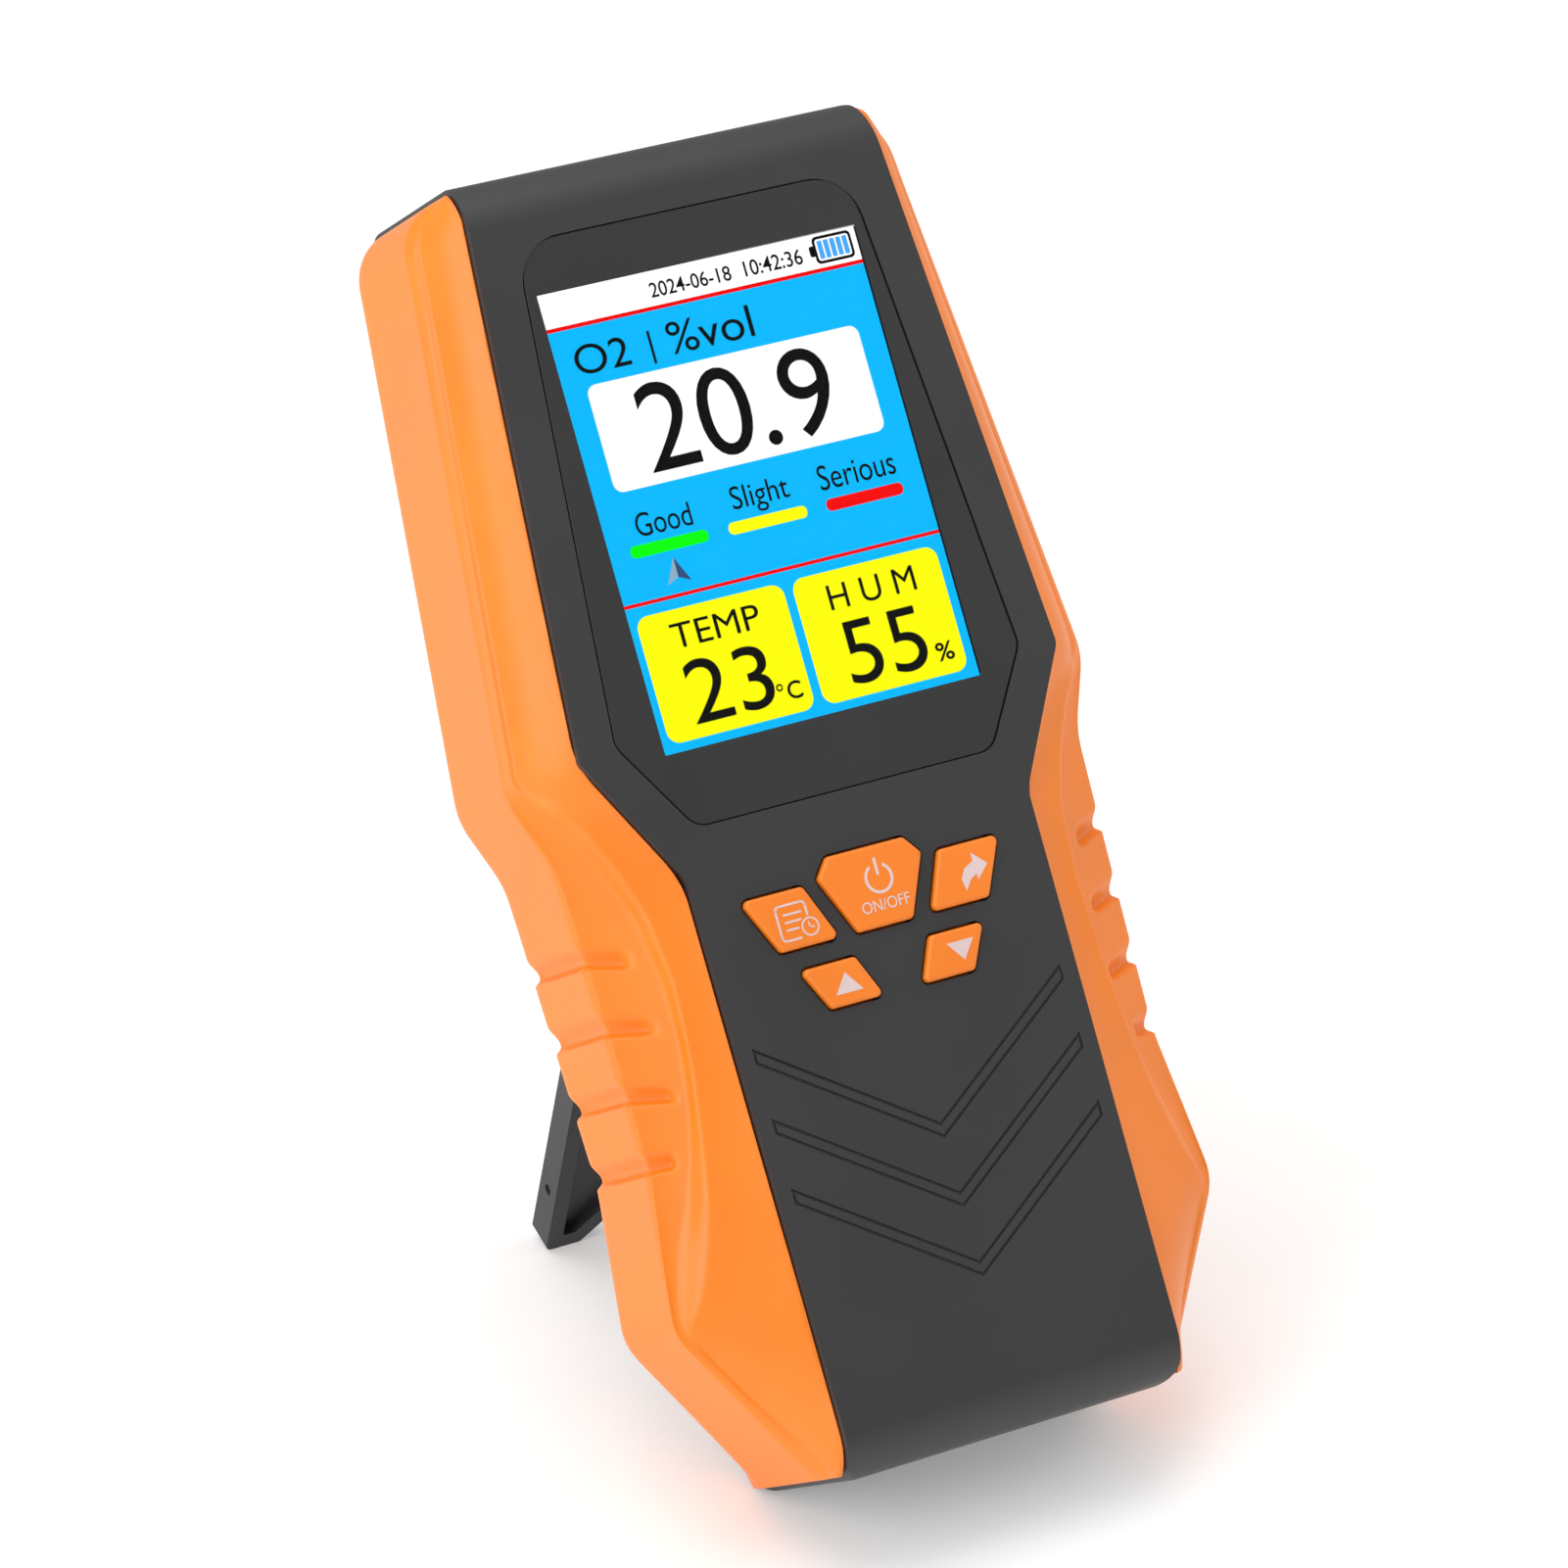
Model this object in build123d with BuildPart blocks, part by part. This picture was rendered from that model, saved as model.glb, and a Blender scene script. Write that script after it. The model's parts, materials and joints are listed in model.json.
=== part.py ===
"""Portable gas detector: a black two-piece case in orange side grips, with a display,
five keys, a gas sensor behind a top inlet and a fold-out stand.

Every piece is drawn in the case's own frame (X across, Y from the front face into the
case, Z along it, zero at the middle of the display) and is then leaned back onto the
open stand, so that the written pieces stand on the floor plane Z = 0. Millimetres.
"""

import os
from math import atan2, cos, degrees, radians, sin

from build123d import *

# ---- Case: overall sizes -------------------------------------------------------------
case_depth = 37.0  # front face to back face
case_top = 49.8  # top face above the middle of the display
case_bottom = -132.8  # bottom face
display_half_width = 26.0  # the case is built round its display
top_half_width = display_half_width + 10.9
shoulder_half_width = display_half_width + 18.9
neck_half_width = 41.0
waist_half_width = 39.7
flare_half_width = 42.2
shoulder_z = -32.5
flare_z = -107.5
bevel_depth = 8.2  # how far back the bevels on the front and on the back run
face_step = 0.8  # the black spine stands this much proud of the grips
roll_radius = 7.5  # rounded front edge of the top and bottom faces
heel_rise = 4.8  # bevel between the bottom face and the back face
heel_run = 4.0

# ---- Black spine: the middle strip that the grips leave open --------------------------
spine_top_half_width = display_half_width + 5.0
spine_shoulder_half_width = display_half_width + 10.9
spine_waist_half_width = 26.5
spine_foot_half_width = 26.0

# ---- Walls and clearances -------------------------------------------------------------
wall = 2.6  # front, top, bottom, sides and back of the black case
grip_wall = 2.4
parting_y = 13.0  # joint face between front and rear shell
seam = 0.2  # visible joint between a grip and the spine
key_gap = 0.35  # round each key, and in front of its flange
seal_width = 1.0
seal_height = 1.6
slip = 0.1  # a loose piece in its seat, on each side

# ---- Grips ----------------------------------------------------------------------------
notch_depth = 1.3
notch_pitch = 9.7
notch_count = 4
first_notch_z = -51.8
notch_slope = 3.0  # height of the sloping side
notch_step = 1.6  # height of the steep side
notch_root = 0.6  # height of the steep side's lower part
notch_margin = 0.4  # the grip's side stands this far out at the notches
notch_run_in = 5.4  # how far a notch runs in over the front bevel
notch_run_depth = 1.0

# ---- Window and display ---------------------------------------------------------------
lens_thickness = 1.4
lens_sink = 0.1
lens_gap = 0.15
view_half_width = display_half_width - 1.1
view_half_height = 33.0
display_half_height = 37.0
display_thickness = 2.4
display_gasket_thickness = 0.6
gasket_show_gap = 0.3  # the foam stays this far back from the edge of the view
gasket_end_width = 2.4
frame_wall = 1.0
frame_back = 1.2
frame_side_lip = 8.0
frame_end_lip = 12.0
frame_post_radius = 2.0
frame_post_inset = 3.0
boss_gap = 0.3  # between the display frame and the bosses beside it

# ---- Keys -----------------------------------------------------------------------------
key_raise = 0.9
key_travel = 0.6
key_flange = 0.8
key_flange_thickness = 1.0
key_edge_chamfer = 0.35
mat_thickness = 1.0
mat_rear_gap = 0.1
mat_lap = 1.0  # the mat reaches this far over its rib
mat_rib = 1.2
mat_pusher_radius = 1.8
switch_gap = 0.6
switch_half_width = 2.6
switch_stem = 0.7
switch_stem_radius = 1.5

# ---- Boards, battery and sensor ----------------------------------------------------------
board_y = 9.3  # front face of the main board
board_thickness = 1.6
board_half_width = 26.0
board_bottom = -116.0
battery_length = 62.0
battery_thickness = 9.6
battery_top = -50.0
tray_wall = 1.2
tray_lip = 1.5  # the tray stops this far behind the cell's front face
chip_height = 1.2
chip_places = [((-16, -4), (-6, 6)), ((3, 12), (-14, -5)), ((-12, -6), (-30, -24)), ((6, 16), (4, 10))]
cell_edge_radius = 1.5
buzzer_radius = 6.0
buzzer_height = 7.5
buzzer_x = -17.0
buzzer_z = 14.0
buzzer_hole_radius = 1.0
sensor_radius = 10.0
sensor_height = 16.5
sensor_pin_circle = 6.5
sensor_pin_radius = 0.75
sensor_pin_length = 2.0
holder_wall = 1.4
holder_foot_half_width = 8.0
holder_drop = 6.0  # the holder's rim lies this far below the sensor's top
holder_board_gap = 0.4
sensor_board_half_width = 11.5
sensor_board_thickness = 1.6
sensor_gasket_radius = 9.0
sensor_gasket_thickness = 1.2
inlet_radius = 6.5
filter_thickness = 0.5
grille_radius = 8.2
grille_thickness = 1.4
grille_rise = 0.6
grille_chamfer = 0.4
grille_hole_radius = 1.0
grille_hole_circle = 3.6
climate_x = 15.0
climate_y = 22.5
climate_board_half_width = 3.2
climate_board_half_depth = 4.5
climate_board_thickness = 1.0
climate_chip_half_width = 1.5
climate_chip_height = 1.0
port_y = 18.0
port_width = 9.0
port_height = 3.3
port_length = 8.0
port_wall = 0.35
port_setback = 0.5  # the port's mouth lies this far inside the bottom face
port_back_wall = 1.2
port_tongue_half_width = 3.3
port_tongue_thickness = 0.7
charge_board_half_width = 12.0
charge_board_thickness = 1.2
charge_board_length = 9.4

# ---- Screws ------------------------------------------------------------------------------
screw_radius = 1.5
screw_length = 20.0
screw_head_radius = 2.75
screw_head_height = 2.6
screw_seat_y = 28.0
screw_drive_radius = 1.2
screw_drive_depth = 1.4
post_end_wall = 1.2
boss_radius = 3.6
insert_radius = 2.3
insert_length = 5.0
board_screw_radius = 1.1
board_screw_head_radius = 2.0
board_screw_head_height = 1.4
board_screw_length = 6.0
standoff_radius = 2.6

# ---- Stand -------------------------------------------------------------------------------
stand_half_width = 24.4
stand_length = 72.4  # hinge axis to foot
stand_thickness = 4.9
stand_hinge_z = -47.0
stand_open_angle = 52.4
stand_rim = 2.5
stand_pocket = 1.8
stand_notch = 5.5
stand_foot_width = 5.6
stand_gap = 0.4
pin_radius = 1.5
pin_running_gap = 0.06
pin_reach = 2.2  # into the case on each side
pin_end_wall = 0.8
pin_cheek_reach = 4.5  # the cheeks reach this far round the pin's axis
dimple_z = -108.5  # grip dimples in the stand's edges, near its feet
dimple_radius = 0.8
dimple_depth = 0.6
well_wall = 1.6

# ---- Worked out from the sizes above --------------------------------------------------------
stand_hinge_y = case_depth - stand_thickness / 2
pin_length = 2 * (stand_half_width + stand_gap + pin_reach)
well_front = stand_hinge_y - stand_thickness / 2 - stand_gap - well_wall
display_front = wall + display_gasket_thickness
display_back = display_front + display_thickness
flange_y = wall + key_gap
mat_y = flange_y + key_flange_thickness + key_travel + key_gap
board_back = board_y + board_thickness
switch_y = mat_y + mat_thickness + switch_gap
inner_top = case_top - wall
sensor_top = inner_top - sensor_gasket_thickness
sensor_floor = sensor_top - sensor_height
sensor_base = sensor_floor - sensor_pin_length
sensor_y = board_back + holder_board_gap + holder_wall + slip + sensor_radius
battery_half_width = spine_foot_half_width - wall - tray_wall - 2 * slip
port_mouth = case_bottom + port_setback
beside_display = display_half_width + slip + frame_wall + boss_gap + boss_radius
screw_places = [(24.0, 42.5), (beside_display, -27.0), (20.0, -124.6)]
standoff_places = [(15.0, 41.8), (22.5, -42.0), (20.0, -111.5)]

# Outlines run clockwise as seen from the front: (x, z, corner radius), right half only.
ridge_outline = [
    (top_half_width, case_top - face_step, 8.0),
    (shoulder_half_width, shoulder_z, 2.5),
    (neck_half_width, shoulder_z - 10.0, 5.0),
    (waist_half_width, flare_z + 22.0, 8.0),
    (flare_half_width, flare_z, 2.5),
    (spine_foot_half_width + 1.6, case_bottom + face_step, 0),
]
spine_outline = [
    (spine_top_half_width, case_top, 1.0),
    (spine_shoulder_half_width, shoulder_z + 2.0, 2.5),
    (spine_waist_half_width, shoulder_z - 16.5, 5.0),
    (spine_waist_half_width - 0.2, flare_z + 22.0, 8.0),
    (spine_foot_half_width + 0.1, flare_z, 2.5),
    (spine_foot_half_width, case_bottom, 3.0),
]
bevel_outline = [
    (spine_outline[0][0], case_top - face_step, spine_outline[0][2]),
    *spine_outline[1:-1],
    (spine_foot_half_width, case_bottom + face_step, 0),
]
lens_outline = [
    (view_half_width + 0.5, 39.6, 7.0),
    (view_half_width + 6.3, -29.4, 3.5),
    (22.9, -42.5, 3.5),
]
power_key = [(5.9, -50.95, 0.8), (8.0, -53.6, 0.8), (4.2, -62.0, 0.8)]
log_key = [(-19.96, -53.9, 0.8), (-10.56, -53.9, 0.8), (-7.13, -61.9, 0.8), (-16.08, -61.9, 0.8)]
up_key = [(-14.2, -64.9, 0.7), (-5.8, -64.9, 0.7), (-3.05, -71.0, 0.7), (-11.05, -71.0, 0.7)]
chevron_tips = [-89.6, -99.3, -109.0]
chevron_rise = 16.4
chevron_half_width = 23.95
chevron_band = 2.2
chevron_groove_width = 0.4
chevron_groove_depth = 0.3
key_field = [(21.7, -48.0, 2.0), (21.7, -73.6, 2.0)]  # the space that the keys' flanges move in

beyond_x = (-2 * shoulder_half_width, 2 * shoulder_half_width)  # past the case on both sides
beyond_z = (2 * case_bottom, 2 * case_top)

pieces = []


def across(corners):
    """The whole outline of a right half: its corners, then their mirror images."""
    return corners + [(-x, z, radius) for x, z, radius in reversed(corners)]


def flipped(corners):
    """The mirror image of an outline, still clockwise."""
    return [(-x, z, radius) for x, z, radius in reversed(corners)]


def inset(corners, amount):
    """The corners of a clockwise outline after each side has moved in by an amount."""
    moved = []
    ring = corners[-1:] + corners + corners[:1]
    for (ax, az, _), (bx, bz, radius), (cx, cz, _) in zip(ring, corners, ring[2:]):
        arriving = Vector(bx - ax, bz - az).normalized()
        leaving = Vector(cx - bx, cz - bz).normalized()
        inward = Vector(arriving.Y + leaving.Y, -arriving.X - leaving.X)
        shift = inward * (amount / (1 + arriving.dot(leaving)))
        turns_right = arriving.cross(leaving).Z < 0
        rounded = radius - amount if turns_right else radius + amount
        moved.append((bx + shift.X, bz + shift.Y, max(rounded, 0.3) if radius else 0))
    return moved


def run_out(corners, distance):
    """A right half whose sides run on past its top and bottom, with sharp corners there."""
    ends = []
    for (x0, z0, _), (x1, z1, _) in ((corners[1], corners[0]), (corners[-2], corners[-1])):
        along = Vector(x1 - x0, z1 - z0).normalized() * distance
        ends.append((x1 + along.X, z1 + along.Y, 0))
    return [ends[0]] + corners[1:-1] + [ends[1]]


def depth(y):
    """The plane at a depth behind the front face, seen from the front."""
    return Plane((0, y, 0), x_dir=(1, 0, 0), z_dir=(0, -1, 0))


def draw(corners, move_in=0.0):
    """Add a rounded outline to the open sketch, moved in by an amount."""
    points = inset(corners, move_in) if move_in else corners
    radii = [radius for _, _, radius in points]
    with BuildLine() as edge:
        FilletPolyline(*[(x, z) for x, z, _ in points], radius=radii, close=True)
    make_face(edge.edges())


def slab(corners, front, back, move_in=0.0, mode=Mode.ADD):
    """A plate with a rounded outline, between two depths."""
    with BuildSketch(depth(front)) as section:
        draw(corners, move_in)
    extrude(section.sketch, amount=front - back, mode=mode)


def block(x_range, y_range, z_range, mode=Mode.ADD):
    """A box between pairs of coordinates."""
    ranges = (x_range, y_range, z_range)
    with Locations(tuple((low + high) / 2 for low, high in ranges)):
        Box(*[high - low for low, high in ranges], mode=mode)


def cylinder(start, direction, radius, length, mode=Mode.ADD):
    """A cylinder that runs from a point in a direction."""
    with Locations(Plane(start, z_dir=direction)):
        Cylinder(radius, length, align=(Align.CENTER, Align.CENTER, Align.MIN), mode=mode)


def rod(x, z, radius, front, back, mode=Mode.ADD):
    """A cylinder from one depth to another."""
    cylinder((x, front, z), (0, 1, 0), radius, back - front, mode)


def upright_rod(x, y, radius, low, high, mode=Mode.ADD):
    """A cylinder along Z."""
    cylinder((x, y, low), (0, 0, 1), radius, high - low, mode)


def cross_rod(radius, reach, mode=Mode.ADD):
    """A cylinder along the stand's hinge axis, as far to both sides."""
    cylinder((-reach, stand_hinge_y, stand_hinge_z), (1, 0, 0), radius, 2 * reach, mode)


def both_sides(places):
    """Each place and its mirror image."""
    return [(side * x, z) for x, z in places for side in (-1, 1)]


def keep(name, part):
    """Label a finished piece and note it for writing."""
    part.label = name
    pieces.append(part)


# ---- The case's outer and inner forms --------------------------------------------------------


def grip_form(move_in):
    """The bevelled outer form of case and grips, each face moved in by an amount."""
    sections = [
        (bevel_outline, face_step + move_in),
        (ridge_outline, face_step + bevel_depth + 0.4 * move_in),
        (ridge_outline, case_depth - face_step - bevel_depth - 0.4 * move_in),
        (bevel_outline, case_depth - face_step - move_in),
    ]
    with BuildPart() as form:
        for corners, y in sections:
            with BuildSketch(depth(y)):
                draw(across(corners), move_in)
        loft(ruled=True)
    return form.part


def spine_form(move_in):
    """The black spine from front face to back face, with its rolled edges and heel."""
    profile = [
        (move_in, case_top - move_in, max(roll_radius - move_in, 1.0)),
        (case_depth - heel_run, case_top - move_in, 2.0),
        (case_depth - move_in, case_top - heel_rise, 2.0),
        (case_depth - move_in, case_bottom + heel_rise, 0),
        (case_depth - heel_run, case_bottom + move_in, 0),
        (move_in, case_bottom + move_in, max(roll_radius - move_in, 1.0)),
    ]
    with BuildPart() as form:
        with BuildSketch(depth(0)):
            draw(across(spine_outline), move_in)
        extrude(amount=-case_depth)
        with BuildSketch(Plane.YZ.offset(-shoulder_half_width)):
            draw(profile)
        extrude(amount=2 * shoulder_half_width, mode=Mode.INTERSECT)
    return form.part


def joint_core(move_in, front, back):
    """The case's section at its joint face, moved in from the outer faces."""
    with BuildPart() as core:
        slab(across(ridge_outline), front, back, grip_wall + move_in)
        slab(across(spine_outline), front, back, move_in)
    return core.part


def make_case_seal():
    """Seal that lies in the groove between the two shells."""
    middle = (wall - seal_width) / 2
    front = parting_y - seal_height / 2
    back = parting_y + seal_height / 2
    with BuildPart() as seal:
        add(joint_core(middle, front, back))
        add(joint_core(middle + seal_width, front, back), mode=Mode.SUBTRACT)
    return seal.part


def case_solid():
    """The black case as one hollow solid, before it is split at its joint face."""
    with BuildPart() as case:
        add(grip_form(grip_wall))
        add(spine_form(0))
        add(grip_form(grip_wall + wall), mode=Mode.SUBTRACT)
        add(spine_form(wall), mode=Mode.SUBTRACT)
    return case.part


hollow_case = case_solid()
case_seal = make_case_seal()
key_outlines = {
    "power": across(power_key),
    "log": log_key,
    "forward": flipped(log_key),
    "up": up_key,
    "down": flipped(up_key),
}


def key_middle(corners):
    """The middle of a key's outline."""
    return (
        sum(x for x, _, _ in corners) / len(corners),
        sum(z for _, z, _ in corners) / len(corners),
    )


# ---- Case ---------------------------------------------------------------------------------


def chevron(tip):
    """The corners of one V-shaped band, clockwise."""
    top = tip + chevron_rise
    upper = [(-chevron_half_width, top, 0), (0, tip, 0), (chevron_half_width, top, 0)]
    lower = [(x, z - chevron_band, 0) for x, z, _ in reversed(upper)]
    return upper + lower


def insert_bosses():
    """The front bosses, bored for the threaded inserts."""
    for x, z in both_sides(screw_places):
        rod(x, z, boss_radius, wall, parting_y)
        rod(x, z, insert_radius, parting_y - insert_length, parting_y, mode=Mode.SUBTRACT)


def board_standoffs():
    """The posts that carry the main board, bored for its screws."""
    tip = board_back - board_screw_length
    for x, z in both_sides(standoff_places):
        rod(x, z, standoff_radius, wall, board_y)
        rod(x, z, board_screw_radius, tip, board_y, mode=Mode.SUBTRACT)


def make_front_shell():
    """Front shell with window seat, key openings, chevrons, bosses and key-mat rib."""
    view_x = (-view_half_width, view_half_width)
    view_z = (-view_half_height, view_half_height)
    with BuildPart() as shell:
        add(hollow_case)
        block(beyond_x, (-1, parting_y), beyond_z, mode=Mode.INTERSECT)
        insert_bosses()
        board_standoffs()
        slab(across(key_field), wall, mat_y, -mat_rib)
        slab(across(key_field), wall, mat_y, mode=Mode.SUBTRACT)
        slab(across(lens_outline), -1, lens_sink + lens_thickness, -lens_gap, mode=Mode.SUBTRACT)
        block(view_x, (-1, wall + 1), view_z, mode=Mode.SUBTRACT)
        for corners in key_outlines.values():
            slab(corners, -1, wall + 1, -key_gap, mode=Mode.SUBTRACT)
        for tip in chevron_tips:
            slab(chevron(tip), -1, chevron_groove_depth, mode=Mode.SUBTRACT)
            slab(chevron(tip), 0, chevron_groove_depth, chevron_groove_width)
        add(case_seal, mode=Mode.SUBTRACT)
    return shell.part


def stand_well(extra):
    """The box that the folded stand lies in behind the case, grown by an amount."""
    reach = stand_half_width + stand_gap + extra
    inner = stand_hinge_y - stand_thickness / 2 - stand_gap - extra
    low = stand_hinge_z - stand_length - stand_gap - extra
    high = stand_hinge_z + stand_thickness / 2 + stand_gap + extra
    return (-reach, reach), (inner, case_depth + 1), (low, high)


def well_walls():
    """The walls round the stand well, inside the spine."""
    with BuildPart() as walls:
        block(*stand_well(well_wall))
        add(spine_form(0), mode=Mode.INTERSECT)
    return walls.part


def pin_cheeks():
    """The solid cheeks beside the stand well that carry the stand pin's ends."""
    reach = pin_length / 2 + pin_end_wall
    ends = (stand_hinge_z - pin_cheek_reach, stand_hinge_z + pin_cheek_reach)
    with BuildPart() as cheeks:
        block((-reach, reach), (well_front, case_depth), ends)
        add(grip_form(grip_wall), mode=Mode.INTERSECT)
    return cheeks.part


def screw_posts():
    """The rear posts, bored for the case screws and their heads."""
    for x, z in both_sides(screw_places):
        rod(x, z, boss_radius, parting_y, case_depth - post_end_wall)
        rod(x, z, screw_radius + slip, parting_y, case_depth, mode=Mode.SUBTRACT)
        rod(x, z, screw_head_radius + slip, screw_seat_y, case_depth + 1, mode=Mode.SUBTRACT)


def make_rear_shell():
    """Rear shell with stand well, screw posts, sensor inlet and charge-port opening."""
    grille_seat = case_top - grille_thickness
    port_end = port_mouth + port_length
    with BuildPart() as shell:
        add(hollow_case)
        block(beyond_x, (-1, parting_y), beyond_z, mode=Mode.SUBTRACT)
        add(well_walls())
        add(pin_cheeks())
        screw_posts()
        block(*stand_well(0), mode=Mode.SUBTRACT)
        cross_rod(pin_radius, pin_length / 2, mode=Mode.SUBTRACT)
        upright_rod(0, sensor_y, inlet_radius, sensor_top, case_top + 1, mode=Mode.SUBTRACT)
        upright_rod(0, sensor_y, grille_radius, grille_seat, case_top + 1, mode=Mode.SUBTRACT)
        charge_port_slot(0, case_bottom - 1, port_end, Mode.SUBTRACT)
        add(case_seal, mode=Mode.SUBTRACT)
    return shell.part


def side_notch(side, top):
    """Cut one notch across the side face of a grip, between its two ridges."""
    low = top - notch_slope
    outside = side * (waist_half_width + notch_margin)
    root = side * (waist_half_width + notch_margin - notch_depth)
    beyond = side * 2 * waist_half_width
    ridge_y = face_step + bevel_depth
    with BuildSketch(depth(ridge_y - notch_margin)) as section:
        with BuildLine() as edge:
            Polyline(
                (outside, top),
                (root, low),
                (root, low - notch_root),
                (outside, low - notch_step),
                (beyond, low - notch_step),
                (beyond, top),
                close=True,
            )
        make_face(edge.edges())
    extrude(section.sketch, amount=2 * (ridge_y - notch_margin) - case_depth, mode=Mode.SUBTRACT)


def bevel_notch(side, top):
    """Run one notch in over a grip's front bevel as a V-groove."""
    low = top - notch_slope
    slope = Vector(waist_half_width - spine_waist_half_width, bevel_depth).normalized()
    groove = Plane(
        (side * waist_half_width, face_step + bevel_depth, 0),
        x_dir=(-side * slope.Y, slope.X, 0),
        z_dir=(-side * slope.X, -slope.Y, 0),
    )
    clear = -2 * notch_depth
    corners = [(clear, top), (notch_run_depth, low), (clear, low - notch_step)]
    with BuildSketch(groove) as section:
        with BuildLine() as edge:
            Polyline(*[(inward, -side * z) for inward, z in corners], close=True)
        make_face(edge.edges())
    extrude(section.sketch, amount=notch_run_in, mode=Mode.SUBTRACT)


def make_grip(side):
    """One orange grip: the outer form over one flank of the case, with its notches."""
    with BuildPart() as grip:
        add(grip_form(0))
        block(sorted((0, side * beyond_x[1])), (-1, case_depth + 1), beyond_z, mode=Mode.INTERSECT)
        add(grip_form(grip_wall), mode=Mode.SUBTRACT)
        spine_gap = across(run_out(spine_outline, 2 * roll_radius))
        slab(spine_gap, -1, case_depth + 1, -seam, mode=Mode.SUBTRACT)
        for index in range(notch_count):
            side_notch(side, first_notch_z - index * notch_pitch)
            bevel_notch(side, first_notch_z - index * notch_pitch)
    return grip.part


# ---- Window and display -----------------------------------------------------------------------


def make_display_frame():
    """Frame that carries the display and stands on the main board."""
    x = display_half_width + slip
    z = display_half_height + slip
    back = display_back + frame_back
    lip_x = (frame_side_lip - x, x - frame_side_lip)
    lip_z = (frame_end_lip - z, z - frame_end_lip)
    post_x = x - frame_post_inset
    with BuildPart() as frame:
        outer = [(x + frame_wall, z + frame_wall, 0), (x + frame_wall, -z - frame_wall, 0)]
        slab(across(outer), display_front, back)
        block((-x, x), (display_front - 1, display_back), (-z, z), mode=Mode.SUBTRACT)
        block(lip_x, (display_front, back + 1), lip_z, mode=Mode.SUBTRACT)
        for side_x, end_z in both_sides([(post_x, lip_z[0]), (post_x, lip_z[1])]):
            rod(side_x, end_z, frame_post_radius, back, board_y)
    return frame.part


def make_display_gasket():
    """Foam frame between the front shell and the display."""
    x = view_half_width + gasket_show_gap
    z = view_half_height + gasket_show_gap
    wide = (-display_half_width, display_half_width)
    tall = (-z - gasket_end_width, z + gasket_end_width)
    with BuildPart() as gasket:
        block(wide, (wall, display_front), tall)
        block((-x, x), (wall - 1, display_front + 1), (-z, z), mode=Mode.SUBTRACT)
    return gasket.part


# ---- Keys ------------------------------------------------------------------------------------------


def make_key(corners):
    """A key cap with the flange that holds it behind the front wall."""
    with BuildPart() as key:
        slab(corners, -key_raise, flange_y + key_flange_thickness)
        chamfer(key.faces().sort_by(Axis.Y)[0].edges(), key_edge_chamfer)
        slab(corners, flange_y, flange_y + key_flange_thickness, -key_flange)
    return key.part


def make_key_mat():
    """Silicone mat behind the keys, with a pusher for each switch."""
    back = mat_y + mat_thickness
    with BuildPart() as mat:
        slab(across(key_field), mat_y, back, -mat_lap)
        for corners in key_outlines.values():
            x, z = key_middle(corners)
            rod(x, z, mat_pusher_radius, back, switch_y - mat_rear_gap)
    return mat.part


def make_switches():
    """Five tact switches on the main board."""
    half = switch_half_width
    front = switch_y + switch_stem
    with BuildPart() as switches:
        for corners in key_outlines.values():
            x, z = key_middle(corners)
            block((x - half, x + half), (front, board_y), (z - half, z + half))
            rod(x, z, switch_stem_radius, switch_y, front)
    return switches.part


# ---- Boards, battery and sensor ---------------------------------------------------------------------


def make_main_board():
    """Main circuit board, with its upper tab and screw holes, and its main chips."""
    outline = [
        (18.6, 44.6, 1.5),
        (18.6, display_half_height, 1.0),
        (board_half_width, display_half_height, 1.5),
        (board_half_width, board_bottom, 2.0),
    ]
    with BuildPart() as board:
        slab(across(outline), board_y, board_back)
        for x_range, z_range in chip_places:
            block(x_range, (board_back, board_back + chip_height), z_range)
        for x, z in both_sides(standoff_places):
            rod(x, z, board_screw_radius, board_y - 1, board_back + 1, mode=Mode.SUBTRACT)
    return board.part


def battery_room(extra):
    """The battery's outer box, grown by an amount."""
    back = well_front - tray_wall - slip
    return (
        (-battery_half_width - extra, battery_half_width + extra),
        (back - battery_thickness - extra, back + extra),
        (battery_top - battery_length - extra, battery_top + extra),
    )


def make_battery():
    """Flat lithium cell with rounded long edges."""
    with BuildPart() as cell:
        block(*battery_room(0))
        fillet(cell.edges().filter_by(Axis.Z), cell_edge_radius)
    return cell.part


def make_battery_tray():
    """Tray that holds the cell against the stand well's inner wall."""
    (x0, x1), (front, _), (z0, z1) = battery_room(slip)
    with BuildPart() as tray:
        block(
            (x0 - tray_wall, x1 + tray_wall),
            (front + tray_lip, well_front),
            (z0 - tray_wall, z1 + tray_wall),
        )
        block(*battery_room(slip), mode=Mode.SUBTRACT)
    return tray.part


def make_sensor_holder():
    """Cup round the lower part of the gas sensor, with a foot on the rear wall."""
    bore = sensor_radius + slip
    rim = sensor_top - holder_drop
    foot_x = (-holder_foot_half_width, holder_foot_half_width)
    with BuildPart() as holder:
        upright_rod(0, sensor_y, bore + holder_wall, sensor_base, rim)
        block(foot_x, (sensor_y, case_depth - wall), (sensor_base, rim))
        upright_rod(0, sensor_y, bore, sensor_base - 1, rim + 1, mode=Mode.SUBTRACT)
        block(beyond_x, (board_back, case_depth - wall), beyond_z, mode=Mode.INTERSECT)
    return holder.part


def make_gas_sensor():
    """Electrochemical cell with its three contact pins."""
    with BuildPart() as sensor:
        upright_rod(0, sensor_y, sensor_radius, sensor_floor, sensor_top)
        for turn in (0, 120, 240):
            x = sensor_pin_circle * cos(radians(turn))
            y = sensor_pin_circle * sin(radians(turn))
            upright_rod(x, sensor_y + y, sensor_pin_radius, sensor_base, sensor_floor)
    return sensor.part


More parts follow.
